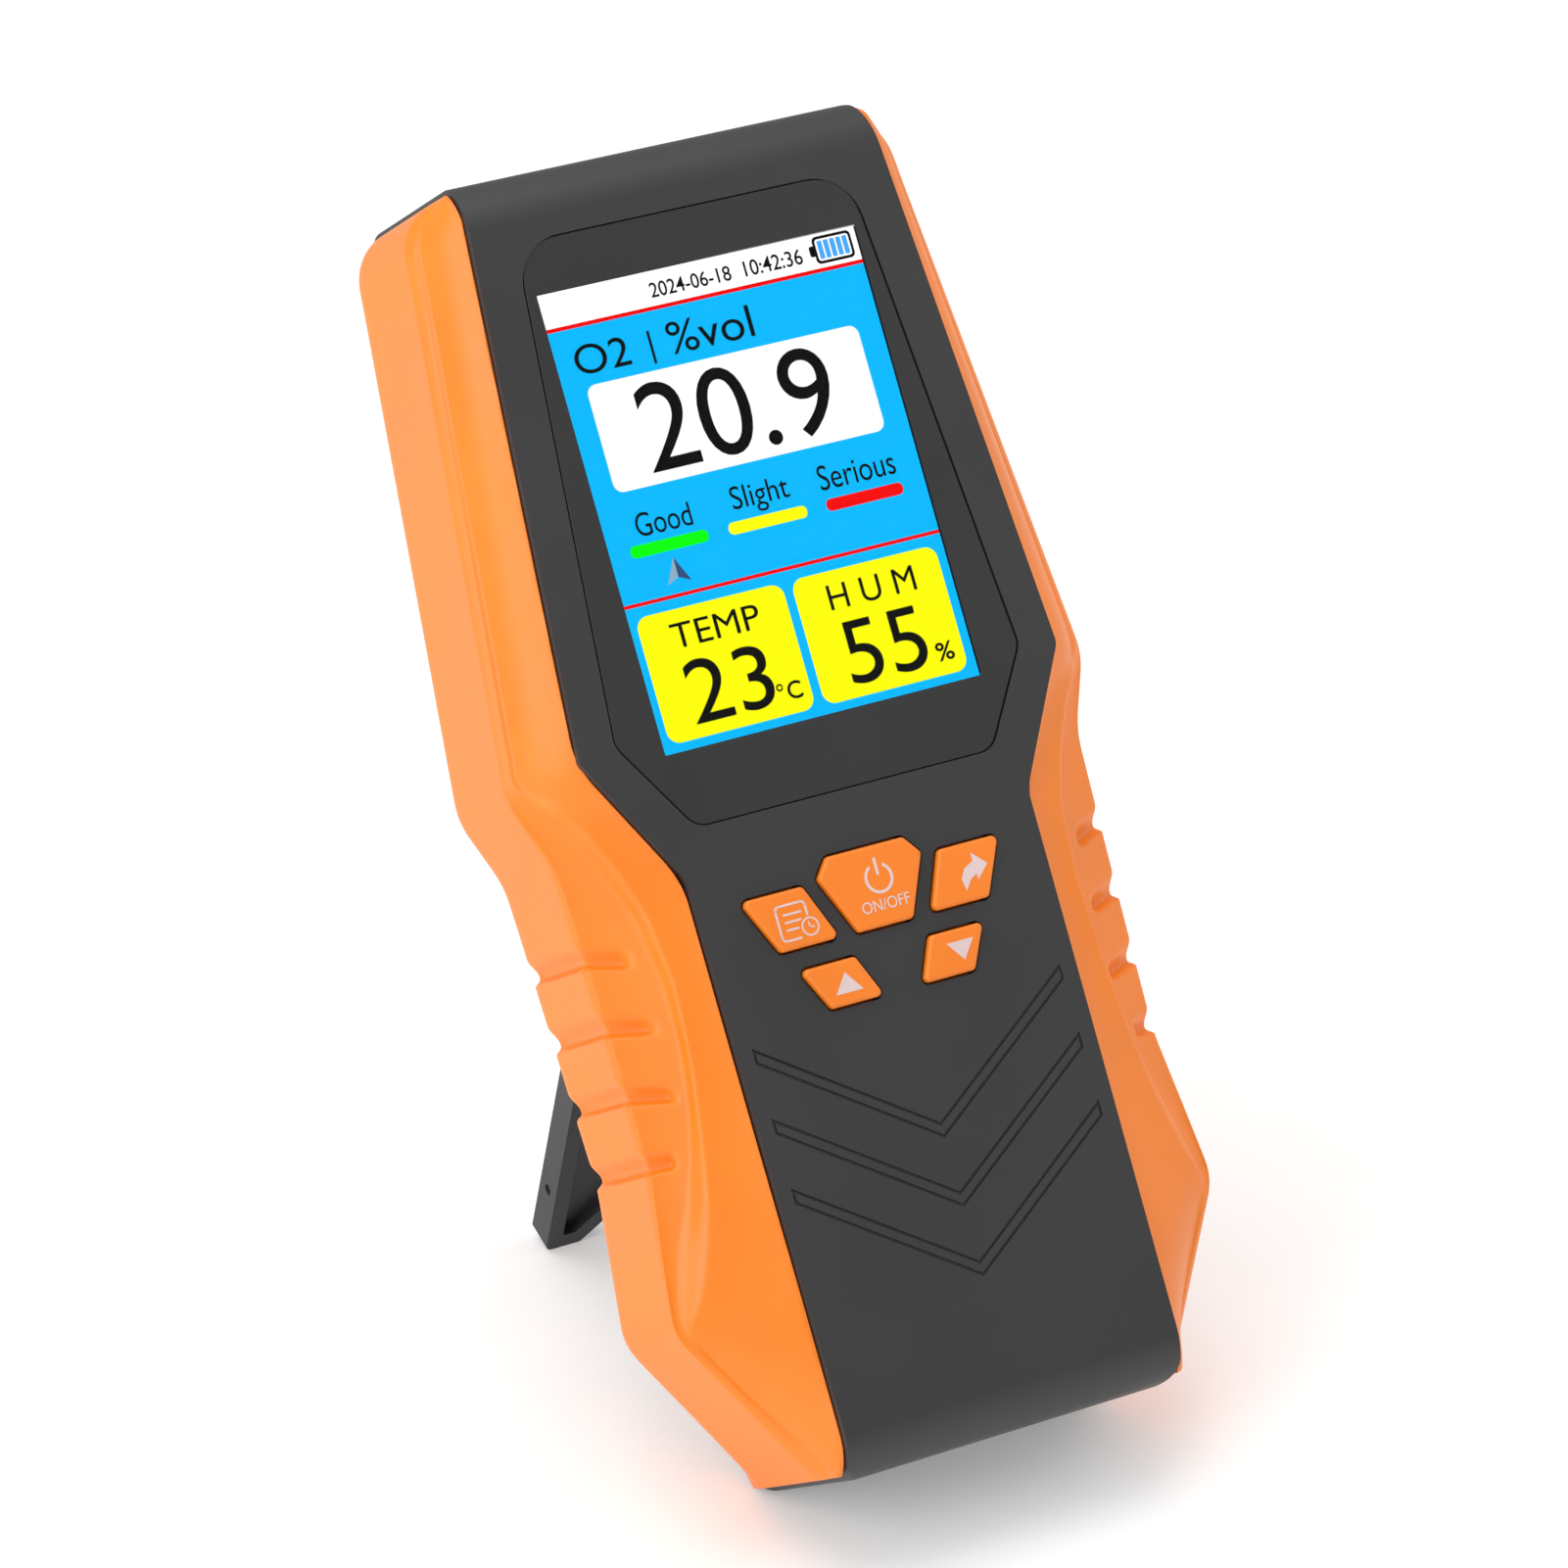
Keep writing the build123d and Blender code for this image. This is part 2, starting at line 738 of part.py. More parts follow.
def make_sensor_board():
    """Small board under the gas sensor that the pins stand on."""
    wide = (-sensor_board_half_width, sensor_board_half_width)
    with BuildPart() as board:
        deep = (board_back, sensor_y + sensor_radius)
        block(wide, deep, (sensor_base - sensor_board_thickness, sensor_base))
    return board.part


def make_sensor_gasket():
    """Rubber ring between the gas sensor and the top wall."""
    with BuildPart() as gasket:
        upright_rod(0, sensor_y, sensor_gasket_radius, sensor_top, inner_top)
        upright_rod(0, sensor_y, inlet_radius, sensor_top - 1, case_top, mode=Mode.SUBTRACT)
    return gasket.part


def make_sensor_filter():
    """Dust and water membrane in the inlet."""
    back = case_top - grille_thickness
    with BuildPart() as disc:
        upright_rod(0, sensor_y, inlet_radius - slip, back - filter_thickness, back)
    return disc.part


def make_sensor_grille():
    """Round grille over the sensor inlet, with a ring of holes."""
    low = case_top - grille_thickness
    high = case_top + grille_rise
    with BuildPart() as grille:
        upright_rod(0, sensor_y, grille_radius, low, high)
        chamfer(grille.faces().sort_by(Axis.Z)[-1].edges(), grille_chamfer)
        upright_rod(0, sensor_y, grille_hole_radius, low - 1, high + 1, mode=Mode.SUBTRACT)
        for turn in range(0, 360, 60):
            x = grille_hole_circle * cos(radians(turn))
            y = sensor_y + grille_hole_circle * sin(radians(turn))
            upright_rod(x, y, grille_hole_radius, low - 1, high + 1, mode=Mode.SUBTRACT)
    return grille.part


def climate_block(half_width, half_depth, low, high):
    """One box of the climate sensor."""
    x_range = (climate_x - half_width, climate_x + half_width)
    y_range = (climate_y - half_depth, climate_y + half_depth)
    block(x_range, y_range, (low, high))


def make_climate_sensor():
    """Temperature and humidity chip on its own small board under the top wall."""
    face = inner_top - climate_chip_height
    board_low = face - climate_board_thickness
    with BuildPart() as climate:
        climate_block(climate_board_half_width, climate_board_half_depth, board_low, face)
        climate_block(climate_chip_half_width, climate_chip_half_width, face, inner_top)
    return climate.part


def make_buzzer():
    """Round alarm buzzer on the main board."""
    top = board_back + buzzer_height
    with BuildPart() as buzzer:
        rod(buzzer_x, buzzer_z, buzzer_radius, board_back, top)
        rod(buzzer_x, buzzer_z, buzzer_hole_radius, top - 1, top + 1, mode=Mode.SUBTRACT)
    return buzzer.part


def charge_port_slot(extra, low, high, mode):
    """The oval outline of the charge port between two heights, grown by an amount."""
    with BuildSketch(Plane((0, port_y, low))) as oval:
        RectangleRounded(port_width + 2 * extra, port_height + 2 * extra, port_height / 2 - 0.05 + extra)
    extrude(oval.sketch, amount=high - low, mode=mode)


def make_charge_port():
    """Charge port shell with its tongue."""
    end = port_mouth + port_length
    half = port_tongue_thickness / 2
    wide = (-port_tongue_half_width, port_tongue_half_width)
    with BuildPart() as port:
        charge_port_slot(0, port_mouth, end, Mode.ADD)
        charge_port_slot(-port_wall, port_mouth - 1, end - port_back_wall, Mode.SUBTRACT)
        block(wide, (port_y - half, port_y + half), (port_mouth + 1.0, end - port_back_wall / 2))
    return port.part


def make_charge_board():
    """Small board behind the charge port, fixed to the bottom wall."""
    face = port_y + port_height / 2
    low = case_bottom + wall
    wide = (-charge_board_half_width, charge_board_half_width)
    with BuildPart() as board:
        block(wide, (face, face + charge_board_thickness), (low, low + charge_board_length))
    return board.part


# ---- Screws and inserts -------------------------------------------------------------------------


def make_case_screws():
    """Six screws through the rear posts."""
    head_back = screw_seat_y + screw_head_height
    drive_floor = head_back - screw_drive_depth
    with BuildPart() as screws:
        for x, z in both_sides(screw_places):
            rod(x, z, screw_radius, screw_seat_y - screw_length, screw_seat_y)
            rod(x, z, screw_head_radius, screw_seat_y, head_back)
            rod(x, z, screw_drive_radius, drive_floor, head_back + 1, mode=Mode.SUBTRACT)
    return screws.part


def make_inserts():
    """Six threaded inserts in the front bosses."""
    with BuildPart() as inserts:
        for x, z in both_sides(screw_places):
            rod(x, z, insert_radius, parting_y - insert_length, parting_y)
            rod(x, z, screw_radius, parting_y - insert_length - 1, parting_y + 1, mode=Mode.SUBTRACT)
    return inserts.part


def make_board_screws():
    """Six screws that hold the main board on its standoffs."""
    with BuildPart() as screws:
        for x, z in both_sides(standoff_places):
            rod(x, z, board_screw_radius, board_back - board_screw_length, board_back)
            rod(x, z, board_screw_head_radius, board_back, board_back + board_screw_head_height)
    return screws.part


# ---- Stand ------------------------------------------------------------------------------------------


def stand_corners(top):
    """The stand's outline up to a height: two feet with an arch between them."""
    foot = stand_hinge_z - stand_length
    inner = stand_half_width - stand_foot_width
    half = [
        (stand_half_width, top, 0),
        (stand_half_width, foot, 1.0),
        (inner, foot, 0.8),
        (inner - stand_notch, foot + stand_notch, 1.5),
    ]
    return across(half)


def make_stand():
    """Folding stand, drawn folded: a pan-shaped plate with a rounded hinge end."""
    front = stand_hinge_y - stand_thickness / 2
    back = stand_hinge_y + stand_thickness / 2
    pocket_top = stand_hinge_z - stand_thickness
    with BuildPart() as plate:
        slab(stand_corners(stand_hinge_z + stand_thickness / 2), front, back)
        fillet(plate.edges().filter_by(Axis.X).group_by(Axis.Z)[-1], stand_thickness / 2 - 0.02)
        floor = front + stand_pocket
        slab(stand_corners(pocket_top + stand_rim), front - 1, floor, stand_rim, Mode.SUBTRACT)
        for side in (-1, 1):
            start = (side * (stand_half_width - dimple_depth), stand_hinge_y, dimple_z)
            cylinder(start, (side, 0, 0), dimple_radius, 2 * dimple_depth, Mode.SUBTRACT)
        cross_rod(pin_radius + pin_running_gap, stand_half_width + 1, Mode.SUBTRACT)
    return plate.part


def make_stand_pin():
    """Steel pin that the stand turns on, fixed in the well's side walls."""
    with BuildPart() as pin:
        cross_rod(pin_radius, pin_length / 2)
    return pin.part


def make_lens():
    """Clear window, flush with the front face."""
    with BuildPart() as lens:
        slab(across(lens_outline), lens_sink, lens_sink + lens_thickness)
    return lens.part


def make_display():
    """Flat display module."""
    with BuildPart() as display:
        block(
            (-display_half_width, display_half_width),
            (display_front, display_back),
            (-display_half_height, display_half_height),
        )
    return display.part


# ---- All the pieces ---------------------------------------------------------------------------------

keep("front_shell", make_front_shell())
keep("rear_shell", make_rear_shell())
keep("left_grip", make_grip(-1))
keep("right_grip", make_grip(1))
keep("case_seal", case_seal)
keep("window_lens", make_lens())
keep("display_gasket", make_display_gasket())
keep("display_panel", make_display())
keep("display_frame", make_display_frame())
for key_name, key_corners in key_outlines.items():
    keep(f"key_{key_name}", make_key(key_corners))
keep("key_mat", make_key_mat())
keep("tact_switches", make_switches())
keep("main_board", make_main_board())
keep("buzzer", make_buzzer())
keep("battery_cell", make_battery())
keep("battery_tray", make_battery_tray())
keep("gas_sensor", make_gas_sensor())
keep("sensor_holder", make_sensor_holder())
keep("sensor_board", make_sensor_board())
keep("sensor_gasket", make_sensor_gasket())
keep("sensor_filter", make_sensor_filter())
keep("sensor_grille", make_sensor_grille())
keep("climate_sensor", make_climate_sensor())
keep("charge_port", make_charge_port())
keep("charge_board", make_charge_board())
keep("case_screws", make_case_screws())
keep("threaded_inserts", make_inserts())
keep("board_screws", make_board_screws())
keep("stand_pin", make_stand_pin())
stand = make_stand().rotate(Axis((0, stand_hinge_y, stand_hinge_z), (1, 0, 0)), stand_open_angle)
keep("kickstand", stand)

# ---- Lean the case back onto its stand ---------------------------------------------------------------

swing = radians(stand_open_angle)
foot_y = stand_hinge_y + stand_length * sin(swing) - stand_thickness / 2 * cos(swing)
foot_z = stand_hinge_z - stand_length * cos(swing) - stand_thickness / 2 * sin(swing)
heel_y = case_depth - heel_run
lean = atan2(foot_z - case_bottom, foot_y - heel_y)
floor_height = case_bottom * cos(lean) - heel_y * sin(lean)
leaned = [piece.rotate(Axis.X, -degrees(lean)) for piece in pieces]
middle_y = Compound(leaned).bounding_box().center().Y

os.makedirs("parts", exist_ok=True)
for piece, turned in zip(pieces, leaned):
    placed = turned.moved(Location((0, -middle_y, -floor_height)))
    placed.label = piece.label
    export_step(placed, f"parts/{piece.label}.step")
print(f"lean {degrees(lean):.3f} deg, floor {floor_height:.3f}, middle {middle_y:.3f}")
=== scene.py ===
"""Looks of a portable gas detector that leans back on its fold-out stand.

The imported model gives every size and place. New pieces are drawn in the case's own axes
(X across, Y from the front face into the case, Z along it, millimetres, zero at the middle
of the display on the front face) and are then put into the model's frame.
"""

import json
import logging
from dataclasses import dataclass, field
from enum import Enum
from math import acos, atan2, cos, radians, sin, sqrt

import bpy
from mathutils import Matrix, Vector


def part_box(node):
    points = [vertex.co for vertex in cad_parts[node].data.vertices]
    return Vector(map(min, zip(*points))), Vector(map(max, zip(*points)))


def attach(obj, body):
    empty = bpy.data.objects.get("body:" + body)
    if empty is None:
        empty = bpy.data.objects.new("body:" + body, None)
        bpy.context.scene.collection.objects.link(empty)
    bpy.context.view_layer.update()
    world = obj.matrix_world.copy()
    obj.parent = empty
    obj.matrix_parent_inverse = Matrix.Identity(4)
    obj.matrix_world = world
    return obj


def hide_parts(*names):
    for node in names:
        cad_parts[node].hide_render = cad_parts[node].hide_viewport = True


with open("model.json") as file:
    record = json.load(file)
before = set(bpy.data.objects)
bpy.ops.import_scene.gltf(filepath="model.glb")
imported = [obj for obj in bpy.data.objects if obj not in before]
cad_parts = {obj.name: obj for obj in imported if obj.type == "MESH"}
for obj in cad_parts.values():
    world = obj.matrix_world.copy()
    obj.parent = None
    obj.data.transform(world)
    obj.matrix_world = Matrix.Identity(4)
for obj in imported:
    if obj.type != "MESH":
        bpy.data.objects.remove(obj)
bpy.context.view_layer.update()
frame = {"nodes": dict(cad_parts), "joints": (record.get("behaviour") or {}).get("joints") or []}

logging.basicConfig(level=logging.INFO, format="%(message)s")
log = logging.getLogger("gas_detector")

Point = tuple[float, float]
Colour = tuple[float, float, float]
FACE_ON = Matrix.Rotation(radians(90), 4, "X")


class Side(Enum):
    """The two flanks of the case, as the sign of X."""

    LEFT = -1
    RIGHT = 1


class Pattern(Enum):
    """What a finish draws over its plain colour."""

    GRAIN = "grain"
    BRUSHED = "brushed"
    TRACES = "traces"
    WRAP = "wrap"
    MESH = "mesh"


# ---- Finishes ---------------------------------------------------------------------------


class ShaderBench:
    """One material and the few node steps that the finishes share."""

    def __init__(self, name: str) -> None:
        """Start a material.

        Args:
            name: The material's name.
        """
        self.material = bpy.data.materials.new(name)
        self.material.use_nodes = True
        self.tree = self.material.node_tree
        self.shader = self.tree.nodes["Principled BSDF"]

    def node(self, kind: str, **settings: object) -> bpy.types.Node:
        """Add a node.

        Args:
            kind: The node's Blender type.
            settings: Attributes to set on it.

        Returns:
            The node.
        """
        made = self.tree.nodes.new(kind)
        for key, value in settings.items():
            setattr(made, key, value)
        return made

    def join(self, out: bpy.types.NodeSocket, into: bpy.types.NodeSocket) -> None:
        """Link an output to an input."""
        self.tree.links.new(out, into)

    def noise(self, size: float, detail: float = 3.0, stretch: Colour = (1, 1, 1)) -> bpy.types.NodeSocket:
        """Add noise on the object's own coordinates.

        Args:
            size: Size of its spots in metres.
            detail: Layers of finer noise.
            stretch: How much finer it is along each axis.

        Returns:
            The noise's value.
        """
        place = self.node("ShaderNodeTexCoord")
        mapping = self.node("ShaderNodeMapping")
        mapping.inputs["Scale"].default_value = [s / size for s in stretch]
        noise = self.node("ShaderNodeTexNoise")
        noise.inputs["Scale"].default_value = 1.0
        noise.inputs["Detail"].default_value = detail
        self.join(place.outputs["Object"], mapping.inputs["Vector"])
        self.join(mapping.outputs["Vector"], noise.inputs["Vector"])
        return noise.outputs["Fac"]

    def span(self, value: bpy.types.NodeSocket, low: float, high: float) -> bpy.types.NodeSocket:
        """Stretch a 0.3 to 0.7 value over a range.

        Args:
            value: The value.
            low: Result at 0.3.
            high: Result at 0.7.

        Returns:
            The stretched value.
        """
        ranged = self.node("ShaderNodeMapRange")
        ranged.inputs["From Min"].default_value = 0.3
        ranged.inputs["From Max"].default_value = 0.7
        ranged.inputs["To Min"].default_value = low
        ranged.inputs["To Max"].default_value = high
        self.join(value, ranged.inputs["Value"])
        return ranged.outputs["Result"]

    def blend(self, value: bpy.types.NodeSocket, first: Colour, second: Colour, low: float, high: float) -> None:
        """Colour the shader between two colours by a value.

        Args:
            value: What drives the mix.
            first: Colour at the low end.
            second: Colour at the high end.
            low: Value of the low end.
            high: Value of the high end.
        """
        ramp = self.node("ShaderNodeValToRGB")
        ramp.color_ramp.elements[0].position = low
        ramp.color_ramp.elements[0].color = (*first, 1.0)
        ramp.color_ramp.elements[1].position = high
        ramp.color_ramp.elements[1].color = (*second, 1.0)
        self.join(value, ramp.inputs["Fac"])
        self.join(ramp.outputs["Color"], self.shader.inputs["Base Color"])

    def relief(self, height: bpy.types.NodeSocket, depth: float, strength: float) -> None:
        """Raise the surface by a height.

        Args:
            height: The height value.
            depth: Its full depth in metres.
            strength: How much of it shows.
        """
        bump = self.node("ShaderNodeBump")
        bump.inputs["Strength"].default_value = strength
        bump.inputs["Distance"].default_value = depth
        self.join(height, bump.inputs["Height"])
        self.join(bump.outputs["Normal"], self.shader.inputs["Normal"])


def toned(colour: Colour, factor: float) -> Colour:
    """A colour made lighter or darker, kept at or below 1."""
    return tuple(min(1.0, part * factor) for part in colour)


@dataclass(frozen=True)
class Finish:
    """A solid finish: its colour, its gloss and the pattern on it."""

    name: str
    colour: Colour
    roughness: float = 0.5
    unevenness: float = 0.06
    grain: float = 0.0004
    relief: float = 0.00002
    strength: float = 0.25
    metallic: float = 0.0
    specular: float = 0.5
    coat: float = 0.0
    pattern: Pattern = Pattern.GRAIN

    def material(self) -> bpy.types.Material:
        """Build the finish's material, or find it if it is there already.

        Returns:
            The material.
        """
        known = bpy.data.materials.get(self.name)
        if known:
            return known
        bench = ShaderBench(self.name)
        bench.shader.inputs["Metallic"].default_value = self.metallic
        bench.shader.inputs["Specular IOR Level"].default_value = self.specular
        bench.shader.inputs["Coat Weight"].default_value = self.coat
        dark, light = toned(self.colour, 1 - self.unevenness), toned(self.colour, 1 + self.unevenness)
        fine = bench.noise(self.grain)
        broad = bench.noise(0.02, 2.0)
        match self.pattern:
            case Pattern.GRAIN:
                bench.blend(broad, dark, light, 0.35, 0.65)
            case Pattern.BRUSHED:
                fine = bench.noise(self.grain, 2.0, (0.06, 1.0, 1.0))
                bench.blend(fine, dark, light, 0.35, 0.65)
            case Pattern.TRACES:
                self.draw_traces(bench)
            case Pattern.WRAP:
                self.draw_wrap(bench)
            case Pattern.MESH:
                self.draw_mesh(bench)
        spread = 0.08 * self.roughness
        gloss = bench.span(broad, self.roughness - spread, self.roughness + spread)
        bench.join(gloss, bench.shader.inputs["Roughness"])
        bench.relief(fine, self.relief, self.strength)
        return bench.material

    def draw_traces(self, bench: ShaderBench) -> None:
        """Draw copper runs under a solder mask."""
        place = bench.node("ShaderNodeTexCoord")
        brick = bench.node("ShaderNodeTexBrick", offset=0.35, squash=0.6)
        brick.inputs["Scale"].default_value = 260.0
        brick.inputs["Mortar Size"].default_value = 0.06
        brick.inputs["Color1"].default_value = (*toned(self.colour, 0.9), 1.0)
        brick.inputs["Color2"].default_value = (*toned(self.colour, 1.1), 1.0)
        brick.inputs["Mortar"].default_value = (*toned(self.colour, 1.8), 1.0)
        bench.join(place.outputs["Object"], brick.inputs["Vector"])
        bench.join(brick.outputs["Color"], bench.shader.inputs["Base Color"])

    def draw_wrap(self, bench: ShaderBench) -> None:
        """Draw the faint bands of a shrunk film."""
        place = bench.node("ShaderNodeTexCoord")
        wave = bench.node("ShaderNodeTexWave", bands_direction="Z")
        wave.inputs["Scale"].default_value = 60.0
        wave.inputs["Distortion"].default_value = 1.5
        bench.join(place.outputs["Object"], wave.inputs["Vector"])
        bench.blend(wave.outputs["Fac"], toned(self.colour, 0.9), toned(self.colour, 1.1), 0.2, 0.8)

    def draw_mesh(self, bench: ShaderBench) -> None:
        """Draw the open cells of foam or felt."""
        place = bench.node("ShaderNodeTexCoord")
        cells = bench.node("ShaderNodeTexVoronoi")
        cells.inputs["Scale"].default_value = 1600.0
        bench.join(place.outputs["Object"], cells.inputs["Vector"])
        bench.blend(cells.outputs["Distance"], toned(self.colour, 0.7), toned(self.colour, 1.2), 0.1, 0.6)


@dataclass(frozen=True)
class Glow:
    """A colour of the lit display, with the faint grid of its cells."""

    name: str
    colour: Colour
    power: float = 1.06

    def material(self) -> bpy.types.Material:
        """Build the glow's material, or find it if it is there already.

        Returns:
            The material.
        """
        known = bpy.data.materials.get(self.name)
        if known:
            return known
        bench = ShaderBench(self.name)
        place = bench.node("ShaderNodeTexCoord")
        cells = bench.node("ShaderNodeTexChecker")
        cells.inputs["Scale"].default_value = 5000.0
        cells.inputs["Color1"].default_value = (*self.colour, 1.0)
        cells.inputs["Color2"].default_value = (*toned(self.colour, 0.97), 1.0)
        bench.join(place.outputs["Object"], cells.inputs["Vector"])
        bench.join(cells.outputs["Color"], bench.shader.inputs["Emission Color"])
        bench.shader.inputs["Emission Strength"].default_value = self.power
        bench.shader.inputs["Base Color"].default_value = (0.0, 0.0, 0.0, 1.0)
        bench.shader.inputs["Roughness"].default_value = 0.6
        bench.shader.inputs["Specular IOR Level"].default_value = 0.0
        return bench.material


@dataclass(frozen=True)
class ClearSheet:
    """Clear acrylic with a hint of smoke and faint smears in its gloss."""

    name: str = "clear_window"

    def material(self) -> bpy.types.Material:
        """Build the sheet's material.

        Returns:
            The material.
        """
        bench = ShaderBench(self.name)
        bench.shader.inputs["Transmission Weight"].default_value = 1.0
        bench.shader.inputs["IOR"].default_value = 1.2
        smears = bench.noise(0.012, 4.0)
        bench.blend(smears, (0.97, 0.98, 0.98), (1.0, 1.0, 1.0), 0.3, 0.7)
        bench.join(bench.span(smears, 0.01, 0.05), bench.shader.inputs["Roughness"])
        return bench.material


CASE_BLACK = Finish("case_black", (0.027, 0.027, 0.028), 0.5, 0.05, 0.00035, 0.00003, 0.35)
STAND_BLACK = Finish("stand_black", (0.022, 0.022, 0.024), 0.5, 0.06, 0.00035, 0.00003, 0.3)
WINDOW_BLACK = Finish("window_black", (0.022, 0.022, 0.023), 0.36, 0.03, 0.003, 0.00001, 0.05)
GRIP_ORANGE = Finish("grip_orange", (0.90, 0.215, 0.008), 0.44, 0.035, 0.0005, 0.00002, 0.14)
KEY_ORANGE = Finish("key_orange", (0.90, 0.215, 0.012), 0.42, 0.03, 0.0004, 0.00001, 0.1)
KEY_PRINT = Finish("key_print", (0.72, 0.56, 0.55), 0.5, 0.03, 0.0003, 0.00001, 0.1)
SEAL_RUBBER = Finish("seal_rubber", (0.03, 0.03, 0.03), 0.75, 0.1, 0.0003)
FOAM_BLACK = Finish("foam_black", (0.02, 0.02, 0.02), 0.9, pattern=Pattern.MESH)
MODULE_FRONT = Finish("module_front", (0.012, 0.014, 0.018), 0.2, 0.05)
FRAME_WHITE = Finish("frame_white", (0.78, 0.78, 0.76), 0.5, 0.04)
SWITCH_BLACK = Finish("switch_black", (0.02, 0.02, 0.02), 0.4, 0.1)
BOARD_GREEN = Finish("board_green", (0.012, 0.13, 0.05), 0.35, coat=0.4, pattern=Pattern.TRACES)
CELL_WRAP = Finish("cell_wrap", (0.04, 0.16, 0.5), 0.3, coat=0.3, pattern=Pattern.WRAP)
SENSOR_WHITE = Finish("sensor_white", (0.74, 0.74, 0.71), 0.45, 0.04)
MEMBRANE = Finish("membrane", (0.85, 0.85, 0.83), 0.85, pattern=Pattern.MESH)
STEEL = Finish("steel", (0.56, 0.56, 0.57), 0.3, 0.08, 0.0006, metallic=1.0, pattern=Pattern.BRUSHED)
BRASS = Finish("brass", (0.72, 0.5, 0.2), 0.3, 0.08, 0.0006, metallic=1.0, pattern=Pattern.BRUSHED)
MAT_GREY = Finish("mat_grey", (0.09, 0.09, 0.09), 0.7, 0.08)


# ---- The case's axes and the bench work --------------------------------------------------


@dataclass(frozen=True)
class CaseAxes:
    """The case's own axes in the model's frame."""

    lean: float
    origin: Vector

    @classmethod
    def of_model(cls, panel_depth: float = 0.0044) -> "CaseAxes":
        """Read the axes from the keys' travel and the display module's place.

        Args:
            panel_depth: From the front face to the middle of the module, in metres.

        Returns:
            The axes.
        """
        press = next(joint for joint in frame["joints"] if joint["name"] == "power_press")
        _, inward, upward = press["axis"]
        low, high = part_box("display_panel")
        middle = (Vector(low) + Vector(high)) / 2
        return cls(atan2(-upward, inward), middle - Vector((0.0, inward, upward)) * panel_depth)

    @property
    def matrix(self) -> Matrix:
        """From the case's axes in millimetres to the model's frame."""
        turn = Matrix.Rotation(-self.lean, 4, "X")
        return Matrix.Translation(self.origin) @ turn @ Matrix.Scale(0.001, 4)


def deselect() -> None:
    """Leave nothing selected."""
    bpy.ops.object.select_all(action="DESELECT")


def take(thing: bpy.types.Object) -> bpy.types.Object:
    """Select one object alone and make it active."""
    deselect()
    thing.select_set(True)
    bpy.context.view_layer.objects.active = thing
    return thing


def bake(thing: bpy.types.Object, kind: str, **settings: object) -> None:
    """Add a modifier and apply it.

    Args:
        thing: The object.
        kind: The modifier's type.
        settings: Attributes to set on it.
    """
    take(thing)
    modifier = thing.modifiers.new(kind.lower(), kind)
    for key, value in settings.items():
        setattr(modifier, key, value)
    bpy.ops.object.modifier_apply(modifier=modifier.name)


@dataclass
class Assembly:
    """What every sub-assembly shares."""

    axes: CaseAxes
    body: str = "case"

    def settle(
        self, thing: bpy.types.Object, name: str, slot: str, finish: Finish | Glow | ClearSheet, *stands_for: str
    ) -> bpy.types.Object:
        """Name a piece, dress it and tie it to its body.

        Args:
            thing: The piece.
            name: Its name.
            slot: The record's material slot; not used.
            finish: Its finish.
            stands_for: The nodes that it replaces.

        Returns:
            The piece.
        """
        thing.name = name
        thing.data.name = name
        thing.data.materials.clear()
        thing.data.materials.append(finish.material())
        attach(thing, self.body)
        if stands_for:
            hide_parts(*stands_for)
        log.info("made %s: %d faces on %s", name, len(thing.data.polygons), self.body)
        return thing

    def into_frame(self, thing: bpy.types.Object, angle: float = 35.0) -> None:
        """Put a mesh drawn in the case's axes into the model's frame and smooth it."""
        thing.data.transform(self.axes.matrix)
        take(thing)
        bpy.ops.object.shade_smooth_by_angle(angle=radians(angle))

    def plate(self, outline: list[Point], front: float, thickness: float, rim: float = 0.0) -> bpy.types.Object:
        """A flat plate that faces forward.

        Args:
            outline: Its corners, anticlockwise from the front.
            front: Depth of its front face.
            thickness: Its thickness.
            rim: Width of its rounded edge.

        Returns:
            The plate.
        """
        deselect()
        bpy.ops.mesh.primitive_circle_add(vertices=len(outline), radius=1.0, fill_type="NGON")
        made = bpy.context.object
        for vertex, (x, z) in zip(made.data.vertices, outline):
            vertex.co = (x, z, 0.0)
        if made.data.polygons[0].normal.z < 0:
            bpy.ops.object.mode_set(mode="EDIT")
            bpy.ops.mesh.select_all(action="SELECT")
            bpy.ops.mesh.flip_normals()
            bpy.ops.object.mode_set(mode="OBJECT")
        bake(made, "SOLIDIFY", thickness=thickness, offset=-1.0)
        if rim:
            bake(made, "BEVEL", width=rim, segments=3, limit_method="ANGLE", angle_limit=radians(50))
        made.data.transform(Matrix.Translation((0, front, 0)) @ FACE_ON)
        self.into_frame(made)
        if rim:
            bake(made, "WEIGHTED_NORMAL", keep_sharp=True, weight=90)
        return made

    def refined(self, node: str, name: str, rim: float, angle: float = 32.0) -> bpy.types.Object:
        """A copy of a node with its loose triangles joined and its edges softened.

        Args:
            node: The node.
            name: The copy's name.
            rim: Width of the softened edges in millimetres.
            angle: Edges sharper than this are softened.

        Returns:
            The copy.
        """
        made = bpy.data.objects.new(name, frame["nodes"][node].data.copy())
        bpy.context.scene.collection.objects.link(made)
        take(made)
        bpy.ops.object.mode_set(mode="EDIT")
        bpy.ops.mesh.select_all(action="SELECT")
        bpy.ops.mesh.remove_doubles(threshold=1e-6)
        bpy.ops.mesh.dissolve_limited(angle_limit=radians(0.6))
        bpy.ops.object.mode_set(mode="OBJECT")
        if rim:
            bake(
                made,
                "BEVEL",
                width=rim / 1000,
                segments=2,
                limit_method="ANGLE",
                angle_limit=radians(angle),
                use_clamp_overlap=True,
            )
        take(made)
        bpy.ops.object.shade_smooth_by_angle(angle=radians(angle))
        bake(made, "WEIGHTED_NORMAL", keep_sharp=True, weight=90)
        return made


